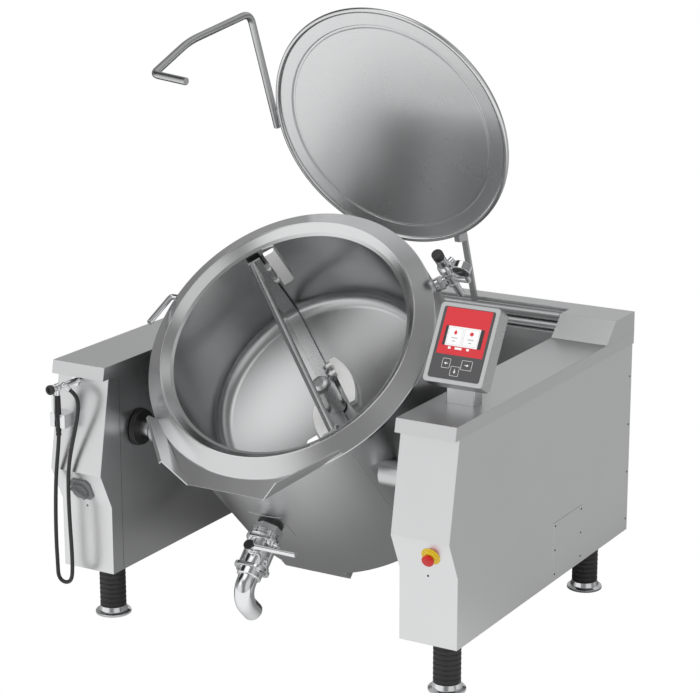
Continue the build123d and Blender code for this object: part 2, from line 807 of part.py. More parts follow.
def casing():
    """Outer casing with welded seams."""
    shape = ring(casing_radius, casing_radius - casing_wall, -casing_drop, -collar_drop - collar_hem)
    start = (-casing_radius, -pivot_forward, -pivot_drop)
    end = (casing_radius, -pivot_forward, -pivot_drop)
    return shape - drain_hole - rod(start, end, shaft_radius)


def casing_floor():
    """Flat floor of the casing round the motor cover's opening."""
    low, high = -casing_drop, casing_wall - casing_drop
    half = motor_box_half - casing_wall
    opening = block(-half, half, -motor_box_back, motor_box_back, low - 1, high + 1)
    return disc(casing_radius - casing_wall, low, high) - opening


def rim_collar():
    """Turned rim: a seat that slopes in to the bowl and a cone that slopes out to the casing."""
    step = seat_step
    outline = [
        (bowl_radius, -seat_drop),
        (bowl_radius + 2 * step, -seat_drop + step),
        (rim_radius - step, -step),
        (rim_radius, 0),
        (rim_radius + step / 2, -step / 2),
        (collar_radius, -collar_drop),
        (collar_radius, -collar_drop - collar_hem),
        (collar_radius - lip_sheet, -collar_drop - collar_hem),
        (collar_radius - lip_sheet, -collar_drop - lip_sheet / 2),
        (rim_radius, -2 * step),
        (rim_radius - step, -3 * step),
        (bowl_radius + 2 * step, -seat_drop - lip_sheet),
        (bowl_radius, -seat_drop - 2 * lip_sheet),
    ]
    collar = turned(outline)
    return collar - disc(bowl_radius + bowl_wall + seat_fit, -2 * collar_radius, -seat_drop)


def pour_lip():
    """Plate in front of the collar between two walls that lean out and end in a folded edge."""
    back_y = -(lip_front - (lip_back_half - lip_half))
    low = -lip_drop - lip_sheet
    corners = [
        (-lip_half, -lip_front, low), (lip_half, -lip_front, low),
        (lip_back_half, back_y, low), (-lip_back_half, back_y, low),
    ]
    floor = extrude(make_face(Polyline(corners, close=True)), amount=lip_sheet, dir=(0, 0, 1))
    floor -= disc(collar_radius, low - 1, 0)
    half_root = math.sqrt(0.5)
    outward = Vector(half_root, -half_root, 0)
    along = Vector(half_root, half_root, 0)
    foot_front_point = Vector(lip_half, -lip_front, low)
    foot_back = Vector(lip_back_half, back_y, low)
    top_front = foot_front_point + outward * lip_flare + along * lip_sweep + Vector(0, 0, lip_rise)
    top_back = foot_back + outward * (lip_flare * lip_back_rise / lip_rise) + Vector(0, 0, lip_back_rise)
    normal = (foot_back - foot_front_point).cross(top_front - foot_front_point).normalized()
    wall_face = make_face(Polyline([foot_front_point, foot_back, top_back, top_front], close=True))
    wall = extrude(wall_face, amount=lip_sheet, dir=tuple(normal))
    hem_points = [
        top_front, top_back,
        top_back + outward * lip_hem - Vector(0, 0, lip_hem / 2),
        top_front + outward * lip_hem - Vector(0, 0, lip_hem / 2),
    ]
    hem_normal = (hem_points[1] - hem_points[0]).cross(hem_points[3] - hem_points[0]).normalized()
    hem = extrude(make_face(Polyline(hem_points, close=True)), amount=lip_sheet, dir=tuple(hem_normal))
    cone = turned([
        (0, -2 * collar_radius), (collar_radius, -2 * collar_radius),
        (collar_radius, -collar_drop), (rim_radius, 0), (0, 0),
    ])
    side_wall = wall + hem - cone
    return floor + side_wall + mirror(side_wall, Plane.YZ)


def trunnion_bracket():
    """Rounded arm from the casing's side to the trunnion shaft."""
    top = collar_drop + collar_hem + shaft_radius * 2
    at = Plane(origin=(0, -pivot_forward, -pivot_drop), x_dir=(0, 1, 0), z_dir=(1, 0, 0))
    run = pivot_drop - top
    outline = Pos(0, run / 2) * SlotCenterToCenter(run, 4 * shaft_radius, rotation=90)
    arm = at * extrude(outline, amount=inner_x - 2 * seal_reach)
    return arm - disc(casing_radius, -2 * casing_drop, casing_drop)


def trunnion_shaft():
    """Stub shaft from the casing through the seal and the bearing."""
    start = (casing_radius - shaft_root, -pivot_forward, -pivot_drop)
    end = (shaft_end, -pivot_forward, -pivot_drop)
    return rod(start, end, shaft_radius)


def kettle_arm():
    """Arm with its shaft, as one welded piece."""
    solid = trunnion_bracket() - rod(
        (0, -pivot_forward, -pivot_drop), (shaft_end, -pivot_forward, -pivot_drop), shaft_radius
    )
    return solid


def grab_handle():
    """Bent bar on the left of the collar, with an open front end."""
    root_x = lip_sheet - math.sqrt(collar_radius**2 - grab_back**2)
    out_x = -collar_radius - grab_reach / 2
    points = [
        (root_x, grab_back, -grab_drop), (out_x, grab_back, -grab_drop),
        (out_x, grab_back - grab_length, grab_rise),
    ]
    bar = bent_bar(points, [grab_rod * 1.2], grab_rod)
    return bar - disc(collar_radius, -casing_drop, 0)


put("bowl", bowl(), kettle_pose)
put("steam_jacket", jacket(), kettle_pose)
put("rim_collar", rim_collar(), kettle_pose)
put("pour_lip", pour_lip(), kettle_pose)
arms = [kettle_arm(), trunnion_shaft()]
put("trunnions", arms + [mirrored(piece) for piece in arms], kettle_pose)
put("grab_handle", grab_handle(), kettle_pose)


# ---------------------------------------------------------------- stirrer drive under the bowl
def lower_edges(box):
    """The four edges round a box's underside."""
    lengthwise = box.edges().filter_by(Axis.Y).group_by(Axis.Z)[0]
    return box.edges().filter_by(Axis.X).group_by(Axis.Z)[0] + lengthwise


def motor_cover():
    """Sheet cover with rounded corners under the casing."""
    low, high = -motor_box_drop, -casing_drop
    box = block(-motor_box_half, motor_box_half, -motor_box_front, motor_box_back, low, high)
    box = fillet(lower_edges(box), motor_box_corner)
    room = block(
        sheet - motor_box_half, motor_box_half - sheet, sheet - motor_box_front, motor_box_back - sheet,
        low + sheet, high + 1,
    )
    return box - fillet(lower_edges(room), motor_box_corner - sheet)


gearbox_top = jacket_depth + 4.0  # gearbox below the rim, under its neck
gearbox_length = 106.0
gearbox_bottom = gearbox_top + gearbox_length


def stirrer_gearbox():
    """Gearbox with its output bearing, bolted under the jacket."""
    case = disc(gearbox_radius, -gearbox_bottom, -gearbox_top)
    neck = disc(drive_radius + 18, -gearbox_top, -jacket_depth)
    bore = disc(drive_radius + shaft_fit, -gearbox_bottom - 1, 0)
    return case + neck - bore


def stirrer_motor():
    """Motor under the gearbox."""
    return disc(motor_radius, -motor_box_drop + 3 * sheet, -gearbox_bottom)


def stirrer_seal():
    """Shaft seal in the bowl's floor."""
    return ring(stirrer_seal_radius, drive_radius + shaft_fit, -jacket_depth, -bowl_depth + side_gap * 4)


put("motor_cover", motor_cover(), kettle_pose)
put("stirrer_drive", [stirrer_gearbox(), stirrer_motor()], kettle_pose)
put("stirrer_seal", stirrer_seal(), kettle_pose)


# ---------------------------------------------------------------- drain valve on the kettle's front
def on_drain(shape, before):
    """A shape about Z, set on the drain's axis from a distance before the bowl's axis."""
    return forward(0, before, drain_drop) * shape


seal_from = casing_radius
nut_from = seal_from + drain_seal_length
ring_from = nut_from + drain_nut_length
valve_from = ring_from + drain_ring_length
outlet_from = valve_from + valve_length
elbow_from = outlet_from + outlet_nut_length
valve_middle = valve_from + valve_length / 2


def drain_pipe():
    """Pipe from the bowl through the jacket and the casing."""
    pipe = ring(drain_pipe_radius, drain_pipe_bore, 0, valve_from - bowl_radius / 2)
    pipe = on_drain(pipe, bowl_radius / 2)
    cavity = revolve(dish(bowl_radius, knuckle_radius, bowl_depth, knuckle_drop, 0), Axis.Z)
    return pipe - cavity


def drain_plate():
    """Curved cover plate round the drain on the casing."""
    middle = -drain_drop - drain_plate_shift
    half = drain_plate_height / 2
    shell = ring(casing_radius + panel_sheet, casing_radius, middle - half, middle + half)
    window = block(-drain_plate_half, drain_plate_half, -2 * casing_radius, 0, -casing_drop, 0)
    return (shell & window) - drain_hole


def drain_seal():
    """Black rubber ring between the casing and the valve."""
    solid = ring(drain_seal_radius, drain_pipe_radius, -drain_seal_length, drain_seal_length)
    return on_drain(solid, seal_from) - disc(casing_radius + panel_sheet, -2 * casing_drop, 0)


def drain_collars():
    """Hexagon nut and round collar behind the valve."""
    nut = hexagon(drain_nut_flats, 0, drain_nut_length)
    collar = disc(drain_ring_radius, drain_nut_length, drain_nut_length + drain_ring_length)
    collar = chamfer(collar.edges(), sheet)
    return on_drain(nut + collar - disc(drain_pipe_radius, -1, valve_length), nut_from)


def drain_valve():
    """Ball valve: round body between two flanges, side barrels and the boss of its stem."""
    flange = SlotOverall(2 * valve_half_width, 2 * ball_radius + 4)
    body = extrude(flange, amount=valve_flange)
    body += Pos(0, 0, valve_length - valve_flange) * body
    body += disc(ball_radius - 4, 0, valve_length)
    body += Pos(0, 0, valve_length / 2) * Sphere(ball_radius)
    for side in (-1, 1):
        barrel = disc(barrel_radius, 0, valve_length)
        body += Pos(side * (valve_half_width - barrel_radius), 0, 0) * barrel
    boss = Plane(origin=(0, 0, valve_length / 2), z_dir=(0, 1, 0)) * Cylinder(
        lever_cap_radius, lever_stem - lever_rod_radius * 1.5, align=(Align.CENTER, Align.CENTER, Align.MIN)
    )
    body = body + boss - disc(drain_pipe_bore, -1, valve_length + 1)
    return on_drain(body, valve_from)


def outlet_nut():
    """Round union nut with flats under the valve."""
    nut = disc(outlet_nut_radius, 0, outlet_nut_length)
    nut = chamfer(nut.edges(), sheet)
    nut &= hexagon(1.9 * outlet_nut_radius, -1, outlet_nut_length + 1)
    return on_drain(nut - disc(drain_pipe_bore, -1, outlet_nut_length + 1), outlet_from)


def drain_elbow():
    """Outlet bend that turns down to the floor."""
    start = elbow_from + elbow_straight + elbow_bend
    points = [
        (0, -elbow_from, -drain_drop),
        (0, -start, -drain_drop),
        (0, -start, -drain_drop - elbow_bend - elbow_tail),
    ]
    return bent_bar(points, [elbow_bend], elbow_radius, elbow_radius - elbow_wall)


def drain_lever():
    """Lever rod in its hub on the valve's stem."""
    hub = disc(lever_cap_radius, 0, 2 * lever_rod_radius)
    bar = rod((0, 0, lever_rod_radius), (lever_length, 0, lever_rod_radius), lever_rod_radius)
    seat = -drain_drop + lever_stem - lever_rod_radius * 1.5 + lever_gap
    return Pos(0, -valve_middle, seat) * (hub + bar)


def lever_cap():
    """Black cap on the lever's hub."""
    seat = -drain_drop + lever_stem - lever_rod_radius * 1.5 + lever_gap + 2 * lever_rod_radius
    cap = disc(lever_cap_radius, 0, 3 * sheet)
    cap = fillet(cap.faces().sort_by(Axis.Z)[-1].edges(), sheet)
    return Pos(0, -valve_middle, seat) * cap


put("casing", [casing(), casing_floor(), drain_plate()], kettle_pose)
put("drain_pipe", [drain_pipe(), drain_collars()], kettle_pose)
put("drain_seal", drain_seal(), kettle_pose)
put("drain_valve", drain_valve(), kettle_pose)
put("drain_elbow", [outlet_nut(), drain_elbow()], kettle_pose)
put("drain_lever", drain_lever(), kettle_pose)
put("lever_cap", lever_cap(), kettle_pose)


# ---------------------------------------------------------------- jacket safety group, right rear
group_turn = 50.0             # group's place, turned from straight back towards the right
group_reach = 545.0           # from the bowl's axis
group_drop = 112.0            # its inlet below the rim
inlet_radius = 18.0
tee_radius = 21.0
tee_half = 30.0
spring_radius = 17.0
spring_top = 4.0              # spring housing's top above the rim
vent_radius = 19.0
vent_height = 24.0
drain_stub_radius = 12.5
drain_stub_end = 207.0
gauge_radius = 31.0
gauge_depth = 27.0
gauge_along = 62.0            # gauge beside the tee
gauge_rise = 66.0             # gauge above the inlet

group_angle = math.radians(group_turn)
group_x = group_reach * math.sin(group_angle)
group_y = group_reach * math.cos(group_angle)
group_place = Pos(group_x, group_y, 0)


def safety_inlet():
    """Pipe and flange nut from the casing to the tee."""
    start = casing_radius - 2 * casing_wall
    along = Vector(math.sin(group_angle), math.cos(group_angle), 0)
    low = Vector(0, 0, -group_drop)
    pipe = rod(tuple(along * start + low), tuple(along * (group_reach - tee_radius + 4) + low), inlet_radius)
    flange = rod(
        tuple(along * start + low), tuple(along * (casing_radius + 14) + low), inlet_radius + 5
    )
    solid = pipe + flange - disc(casing_radius, -2 * casing_drop, 0)
    return solid - group_place * disc(tee_radius, -group_drop - tee_half, tee_half - group_drop)


def safety_tee():
    """Tee with a hexagon above it, a side branch and the discharge pipe below."""
    tee = disc(tee_radius, -group_drop - tee_half, tee_half - group_drop)
    nut = hexagon(2.1 * tee_radius, tee_half - group_drop, tee_half + 14 - group_drop)
    pipe = disc(drain_stub_radius, -drain_stub_end, -group_drop - tee_half)
    pipe -= disc(drain_stub_radius - sheet, -drain_stub_end - 1, -drain_stub_end + 3 * tee_half / 2)
    branch = rod((0, 0, -group_drop), (gauge_along, 0, -group_drop), inlet_radius / 1.8)
    return group_place * (tee + nut + pipe + branch)


def safety_valve():
    """Valve body with its spring housing."""
    foot = tee_half + 14 - group_drop
    outline = [(0, foot), (tee_radius, foot), (tee_radius + 3, foot + 8), (tee_radius + 3, foot + 24)]
    outline += [(spring_radius, foot + 34), (spring_radius, spring_top), (0, spring_top)]
    side = rod((0, 0, foot + 16), (tee_radius * 0.8, tee_radius * 1.6, foot + 16), spring_radius - 4)
    return group_place * (turned(outline) + side)


def vent_cap():
    """Black lifting cap of the safety valve."""
    foot = spring_top + side_gap
    cap = disc(vent_radius, foot, foot + vent_height)
    return group_place * fillet(cap.faces().sort_by(Axis.Z)[-1].edges(), vent_radius / 3)


def pressure_gauge():
    """Round gauge that faces the front, on a stem from the tee's branch."""
    centre = gauge_rise - group_drop
    front = Plane(origin=(gauge_along, gauge_depth / 2, centre), x_dir=(1, 0, 0), z_dir=(0, -1, 0))
    case = extrude(Circle(gauge_radius), amount=gauge_depth)
    case = chamfer(case.edges(), sheet / 2)
    dial = extrude(Circle(gauge_radius - 2 * sheet), amount=sheet)
    case -= Pos(0, 0, gauge_depth - sheet) * dial
    stem_foot = (gauge_along, 0, inlet_radius / 1.8 - group_drop)
    stem = rod(stem_foot, (gauge_along, 0, centre - gauge_radius + lip_sheet), inlet_radius / 2)
    return group_place * (front * case + stem)


def gauge_dial():
    """Dark dial behind the gauge's rim."""
    centre = gauge_rise - group_drop
    front = Plane(origin=(gauge_along, gauge_depth / 2, centre), x_dir=(1, 0, 0), z_dir=(0, -1, 0))
    dial = extrude(Circle(gauge_radius - 2 * sheet), amount=sheet / 2)
    return group_place * (front * (Pos(0, 0, gauge_depth - sheet) * dial))


put("safety_tee", [safety_inlet(), safety_tee()], kettle_pose)
put("safety_valve", safety_valve(), kettle_pose)
put("vent_cap", vent_cap(), kettle_pose)
put("pressure_gauge", [pressure_gauge(), gauge_dial()], kettle_pose)


# ---------------------------------------------------------------- stirrer
def bowl_section(inset, top):
    """Half section of the space inside the bowl, moved in from its wall."""
    return dish(bowl_radius, knuckle_radius, bowl_depth, knuckle_drop, top, inset)


half_turn = Rot(0, 0, 180)
bar_inner = bowl_radius - blade_gap - blade_thick
pin_x = -(bar_inner - 11.0)   # wall scraper's hinge line
pin_y = blade_front + 6.0
floor_pin_drop = 412.0        # floor scraper's hinge line below the rim
lug_heights = (93.0, 162.0)   # wall scraper's lugs below the rim
lug_places = (-100.0, -135.0)  # floor scraper's lugs along the bar
ear_thick = 7.0


def side_ears():
    """Ears on an upright that carry the wall scraper's pin, one above and below each lug."""
    ears = []
    for drop in lug_heights:
        for side in (-1, 1):
            middle = -drop + side * (scraper_lug / 2 + side_gap + ear_thick / 2)
            ear = Pos(pin_x, pin_y, middle) * Cylinder(lug_radius, ear_thick)
            low, high = middle - ear_thick / 2, middle + ear_thick / 2
            foot = block(-bar_inner, pin_x, pin_y - lug_radius, blade_front, low, high)
            ears.append(ear + foot)
    shape = ears[0]
    for ear in ears[1:]:
        shape += ear
    pin_top = -lug_heights[0] + scraper_lug / 2 + side_gap
    pin_foot = -lug_heights[1] - scraper_lug / 2 - side_gap
    return shape + Pos(pin_x, pin_y, (pin_top + pin_foot) / 2) * Cylinder(scraper_pin, pin_top - pin_foot)


def floor_ears():
    """Ears on the floor bar that carry the floor scraper's pin."""
    shape = None
    for place in lug_places:
        for side in (-1, 1):
            middle = place + side * (scraper_lug / 2 + side_gap + ear_thick / 2)
            start, end = middle - ear_thick / 2, middle + ear_thick / 2
            ear = rod((start, pin_y, -floor_pin_drop), (end, pin_y, -floor_pin_drop), lug_radius)
            foot = block(
                start, end, pin_y - 2 * lug_radius, blade_front,
                -bowl_depth + blade_gap + blade_thick, -floor_pin_drop,
            )
            shape = ear + foot if shape is None else shape + ear + foot
    pin = rod(
        (lug_places[1] - scraper_lug, pin_y, -floor_pin_drop),
        (lug_places[0] + scraper_lug, pin_y, -floor_pin_drop),
        scraper_pin,
    )
    return shape + pin


def stirrer_side():
    """One flat bar bent to the bowl, from the top tube down to the hub, with its hinge ears."""
    band = bowl_section(blade_gap, top_bar_drop - top_bar_radius) - bowl_section(
        blade_gap + blade_thick, top_bar_drop - top_bar_radius
    )
    bar = extrude(band, amount=blade_back + blade_front, dir=(0, 1, 0))
    bar = Pos(0, -blade_back, 0) * mirror(bar, Plane.YZ)
    ears = floor_ears() & revolve(bowl_section(blade_gap, 0), Axis.Z)
    return bar + side_ears() + ears - disc(hub_radius, -bowl_depth, 0)


def stirrer_hub():
    """Turned hub with a domed top."""
    low = blade_gap / 2 - bowl_depth
    crown = hub_radius / 2
    outline = [(0, low), (hub_radius, low), (hub_radius, -hub_drop - crown)]
    outline += [(hub_radius * 0.8, -hub_drop - crown / 4), (hub_radius * 0.45, -hub_drop), (0, -hub_drop)]
    return turned(outline)


def stirrer_shaft():
    """Drive shaft from the gearbox up to the hub."""
    return disc(drive_radius, side_gap - gearbox_bottom, blade_gap / 2 - bowl_depth)


def stirrer_top_bar():
    """Tube across the bowl between the two uprights."""
    return rod((-bar_inner, 0, -top_bar_drop), (bar_inner, 0, -top_bar_drop), top_bar_radius)


def wall_scraper():
    """White scraper blade that hangs on its pin beside the bowl's wall."""
    y_from = pin_y + lug_radius + 1
    y_to = y_from + wall_scraper_width
    x_out = -math.sqrt((bowl_radius - scraper_clear) ** 2 - y_to**2)
    blade = block(x_out, x_out + wall_scraper_thick, y_from, y_to, -wall_scraper_bottom, -wall_scraper_top)
    tip = blade.edges().filter_by(Axis.Z).group_by(Axis.Y)[-1].sort_by(Axis.X)[-1]
    blade = chamfer(tip, wall_scraper_thick / 2)
    for drop in lug_heights:
        low, high = -drop - scraper_lug / 2, -drop + scraper_lug / 2
        lug = Pos(pin_x, pin_y, -drop) * Cylinder(lug_radius, scraper_lug)
        arm = block(pin_x - lug_radius, x_out + wall_scraper_thick, pin_y, y_from + 4, low, high)
        blade += lug + arm
    return blade - Pos(pin_x, pin_y, 0) * Cylinder(scraper_pin + scraper_fit, 2 * bowl_depth)


def floor_scraper():
    """White scraper blade with a curved edge, hinged above the bowl's floor."""
    y_from = pin_y + lug_radius + 1
    y_side = y_from + floor_scraper_width * 0.45
    y_middle = y_from + floor_scraper_width
    x_middle = (floor_scraper_in - floor_scraper_out) / 2
    edge = ThreePointArc(
        (floor_scraper_in, y_side, 0), (x_middle, y_middle, 0), (-floor_scraper_out, y_side, 0)
    )
    rest = Polyline(
        (-floor_scraper_out, y_side, 0), (-floor_scraper_out, y_from, 0),
        (floor_scraper_in, y_from, 0), (floor_scraper_in, y_side, 0),
    )
    face = Pos(0, 0, -bowl_depth) * make_face([edge, rest])
    top = scraper_clear + floor_scraper_thick + 10
    blade = extrude(face, amount=top, dir=(0, 0, 1))
    blade &= revolve(bowl_section(scraper_clear, 0), Axis.Z)
    for place in lug_places:
        start, end = place - scraper_lug / 2, place + scraper_lug / 2
        lug = rod((start, pin_y, -floor_pin_drop), (end, pin_y, -floor_pin_drop), lug_radius)
        arm = block(start, end, pin_y, y_from + 6, top - 4 - bowl_depth, lug_radius - floor_pin_drop)
        blade += lug + arm
    hole_from = (-floor_scraper_out, pin_y, -floor_pin_drop)
    hole_to = (floor_scraper_in, pin_y, -floor_pin_drop)
    return blade - rod(hole_from, hole_to, scraper_pin + scraper_fit)


put("stirrer_hub", [stirrer_hub(), stirrer_shaft()], stirrer_pose)
put("stirrer_top_bar", stirrer_top_bar(), stirrer_pose)
put("stirrer_frame", [stirrer_side(), half_turn * stirrer_side()], stirrer_pose)
put("wall_scraper_a", wall_scraper(), stirrer_pose)
put("wall_scraper_b", half_turn * wall_scraper(), stirrer_pose)
put("floor_scraper_a", floor_scraper(), stirrer_pose)
put("floor_scraper_b", half_turn * floor_scraper(), stirrer_pose)


# ---------------------------------------------------------------- lid
skin_edge = lid_radius - 2 * lid_roll
crown_sphere = (skin_edge**2 + (lid_crown - lid_roll / 2) ** 2) / (2 * (lid_crown - lid_roll / 2))


def lid_ball(extra=0.0):
    """Ball whose top is the lid's dome."""
    return Pos(0, 0, lid_crown - crown_sphere) * Sphere(crown_sphere + extra)


def lid_skin():
    """Domed outer sheet."""
    slab = disc(skin_edge, lid_roll / 4, lid_crown + 1)
    return (slab & lid_ball()) - lid_ball(-lid_sheet)


def lid_rim():
    """Rolled rim."""
    return Torus(lid_radius - lid_roll, lid_roll)


def lid_lining():
    """Inner sheet: a flat ring, a groove and the flat inner disc."""
    ring_level = lid_roll / 4
    groove = 2 * lid_sheet
    outer = skin_edge + lid_roll * 0.2
    low, high = ring_level - groove / 2, ring_level + groove / 2
    step_in, step_top, step_out = (lid_disc_radius + turns * groove for turns in (1, 2, 3))
    outline = [
        (0, low), (lid_disc_radius, low), (step_in, high), (step_top, high),
        (step_out, ring_level - lid_sheet), (outer, ring_level - lid_sheet), (outer, ring_level),
        (step_out, ring_level), (step_top, high + lid_sheet), (step_in, high + lid_sheet),
        (lid_disc_radius, low + lid_sheet), (0, low + lid_sheet),
    ]
    return turned(outline) - lid_rim()


def lid_arm():
    """Arm that stands on the dome and reaches back to the hinge tube."""
    low, high = lid_hinge_rise - arm_thick / 2, lid_hinge_rise + arm_thick / 2
    reach = lid_hinge_reach
    front = -lid_disc_radius / 2
    outline = [(reach, low), (reach, high), (-lid_disc_radius / 3, high), (front, low), (front, 0)]
    outline += [(lid_radius - 2 * lid_roll, 0), (lid_radius, low)]
    arm = side_prism(outline, arm_spread - arm_width / 2, arm_spread + arm_width / 2)
    tube = rod((0, reach, lid_hinge_rise), (2 * arm_spread, reach, lid_hinge_rise), hinge_tube_radius)
    dome = lid_ball() & disc(skin_edge, -lid_crown, 2 * lid_crown)
    edge = disc(lid_radius - 1.8 * lid_roll, -lid_roll, lid_roll / 4)
    return arm - tube - dome - edge - lid_rim()


def lid_hinge_tube():
    """Hinge tube with a turned pin at each end."""
    half = inner_x - bearing_block - side_gap
    reach, rise = lid_hinge_reach, lid_hinge_rise
    tube = rod((-half, reach, rise), (half, reach, rise), hinge_tube_radius)
    return tube + rod((sheet - inner_x, reach, rise), (inner_x - sheet, reach, rise), hinge_pin_radius)


def lid_handle():
    """Long bent bar on the lid's left edge, with its weld plate."""
    points = [
        (-handle_root_out, handle_root_back, handle_root_rise),
        (-handle_bend_out, -handle_bend_front, -handle_bend_drop),
        (-handle_knee_out, -handle_front, -handle_knee_drop),
        (-handle_foot_out, -handle_front, -handle_foot_drop),
        (-handle_end_out, -handle_front, -handle_end_drop),
    ]
    bar = bent_bar(points, [handle_bend, handle_knee, handle_foot], lid_handle_rod)
    plate = block(
        -handle_plate_out, -lid_radius * 0.98, -handle_plate_front, handle_plate_back,
        handle_plate_low, handle_plate_low + handle_plate_thick,
    )
    return bar + (plate - lid_rim() - disc(lid_radius - 3 * lid_roll, -lid_crown, lid_crown))


put("lid_skin", lid_skin(), lid_pose)
put("lid_rim", lid_rim(), lid_pose)
put("lid_lining", lid_lining(), lid_pose)
put("lid_hinge", [lid_hinge_tube(), lid_arm(), mirrored(lid_arm())], lid_pose)
put("lid_handle", lid_handle(), lid_pose)


# ---------------------------------------------------------------- spray hose and gun on the left column
left_column = mirrored(side_prism(column_outline(0, 0), body_inner_x, body_outer_x))
outlet_radius = 9.0
outlet_flange = 17.0          # its wall flange, front to rear
outlet_nut_run = 28.0         # swivel nut's length
outlet_slope = math.radians(30.65)
nut_run = Vector(math.cos(outlet_slope), 0, -math.sin(outlet_slope))
outlet_corner = Vector(hose_outlet_x, hose_plane, hose_outlet_height)
outlet_nut_end = outlet_corner + nut_run * outlet_nut_run
outlet_root = body_setback + 5.0


def hose_outlet():
    """Wall flange, pipe and the swivel nut that the hose leaves."""
    root = (hose_outlet_x, outlet_root, hose_outlet_height)
    flange = rod(root, (hose_outlet_x, outlet_root - outlet_flange, hose_outlet_height), 2 * outlet_radius)
    pipe = rod(root, tuple(outlet_corner), outlet_radius)
    elbow = Pos(*outlet_corner) * Sphere(outlet_radius * 1.15)
    nut = rod(tuple(outlet_corner), tuple(outlet_nut_end), outlet_radius)
    return flange + pipe + elbow + nut - left_column


loop_x = -681.0               # middle of the hose's loop
loop_radius = 28.0
loop_drop = 710.0             # loop's middle below the column's top
loop_step = loop_radius * math.tan(math.radians(22.5))
hose_route = [                # X, and the drop below the column's top
    (-612.0, 88.0), (-603.0, 114.0), (-606.0, 152.0), (-618.0, 200.0), (-634.0, 260.0),
    (-650.0, 330.0), (-655.5, 410.0), (-654.0, 520.0), (-649.5, 615.0), (-649.0, 678.0),
    (loop_x + loop_radius, loop_drop + loop_step), (loop_x + loop_step, loop_drop + loop_radius),
    (loop_x - loop_step, loop_drop + loop_radius), (loop_x - loop_radius, loop_drop + loop_step),
    (-709.5, 678.0), (-712.0, 600.0), (-710.0, 490.0), (-704.0, 385.0), (-696.0, 320.0), (-689.0, 270.0),
]
ferrule_length = 20.0
hose_end = (gun_x, hose_plane, gun_foot - ferrule_length)


def hose_points():
    """Route of the hose's centre line, from the outlet nut to the gun."""
    inner = [(x, hose_plane, working_height - drop) for x, drop in hose_route]
    return [tuple(outlet_nut_end), *inner, hose_end]


def corner_radii(points):
    """Radius at each corner: 0.45 of the shorter run over the tangent of half the turn."""
    radii = []
    for before, here, after in zip(points, points[1:], points[2:]):
        run_in = Vector(*here) - Vector(*before)
        run_out = Vector(*after) - Vector(*here)
        half = math.radians(run_in.get_angle(run_out)) / 2
        radii.append(0.45 * min(run_in.length, run_out.length) / math.tan(half))
    return radii


def spray_hose():
    """Rubber hose that hangs in a long loop."""
    points = hose_points()
    radii = corner_radii(points)
    hose = bent_bar(points, radii, hose_radius)
    length = hose.volume / (math.pi * hose_radius**2)
    print("hose length", round(length), "mm; corner radii", [round(radius) for radius in radii])
    return hose


def gun_grip():
    """Ribbed black grip."""
    outline = [(0, gun_foot), (grip_radius, gun_foot)]
    pitch = gun_length / 2 / grip_ribs
    for index in range(1, grip_ribs):
        z = gun_foot + index * pitch
        outline += [(grip_radius, z - grip_rib), (grip_radius - grip_rib, z), (grip_radius, z + grip_rib)]
    outline += [(grip_radius, gun_top), (0, gun_top)]
    return Pos(gun_x, hose_plane, 0) * turned(outline)


def gun_ferrule():
    """Bright ferrule between the hose and the grip."""
    return Pos(gun_x, hose_plane, 0) * disc(hose_radius + 2.5, gun_foot - ferrule_length, gun_foot)


head_rise = 26.0              # gun's head above the grip
head_radius = 13.0
head_front = hose_plane - 40.0
head_back = hose_plane + 14.0
nozzle_length = 12.0
nozzle_rim = 3.0              # nozzle's rim out from the head
head_height = gun_top + head_rise


def gun_head():
    """Bright neck and head of the spray gun."""
    neck = rod((gun_x, hose_plane, gun_top), (gun_x, hose_plane, head_height), grip_radius - 2)
    head = rod((gun_x, head_back, head_height), (gun_x, head_front + nozzle_length, head_height), head_radius)
    return neck + head + trigger_fork()


def gun_nozzle():
    """Black rubber nozzle."""
    front = Plane(origin=(gun_x, head_front + nozzle_length, head_height), z_dir=(0, -1, 0))
    rim, mouth = head_radius + nozzle_rim, head_radius - nozzle_rim
    outline = [(0, 0), (head_radius, 0), (rim, nozzle_length / 3), (rim, nozzle_length)]
    outline += [(mouth - 1, nozzle_length), (mouth - nozzle_rim, nozzle_length / 2 + 1)]
    outline += [(0, nozzle_length / 2 + 1)]
    return front * turned(outline)


trigger_reach = 12.0          # trigger's pin in front of the grip
trigger_half = 4.0            # half its width
trigger_thick = 4.0
trigger_pin = 2.0             # its pin's radius
trigger_cheek = 2.5           # fork's cheeks
trigger_eye = 5.0             # round end on the pin
trigger_tail = 78.0           # trigger's tip below the grip's upper end
trigger_y = hose_plane - grip_radius - trigger_reach
trigger_top = head_height - head_radius - trigger_eye - side_gap
trigger_foot = gun_top - trigger_tail


def gun_trigger():
    """Lever in front of the grip, with its eye at the top."""
    half = trigger_half
    lever = block(gun_x - half, gun_x + half, trigger_y - trigger_thick, trigger_y, trigger_foot, trigger_top)
    eye = rod((gun_x - half, trigger_y, trigger_top), (gun_x + half, trigger_y, trigger_top), trigger_eye)
    start, end = (gun_x - 2 * half, trigger_y, trigger_top), (gun_x + 2 * half, trigger_y, trigger_top)
    return lever + eye - rod(start, end, trigger_pin + shaft_fit)


def trigger_fork():
    """Two cheeks under the gun's head and the pin that they hold."""
    inner = trigger_half + side_gap
    outer = inner + trigger_cheek
    fork = rod((gun_x - outer, trigger_y, trigger_top), (gun_x + outer, trigger_y, trigger_top), trigger_pin)
    for low, high in ((-outer, -inner), (inner, outer)):
        fork += block(
            gun_x + low, gun_x + high, trigger_y - trigger_eye, trigger_y + trigger_eye,
            trigger_top - trigger_eye, head_height - head_radius / 2,
        )
    return fork


holder_low = 8.0              # holder above the grip's foot
holder_height = 46.0
holder_width = 58.0
holder_shift = 1.0            # holder's middle to the right of the grip
holder_wall = 3.0
holder_lips = 6.0             # holder's jaws in front of the grip's middle


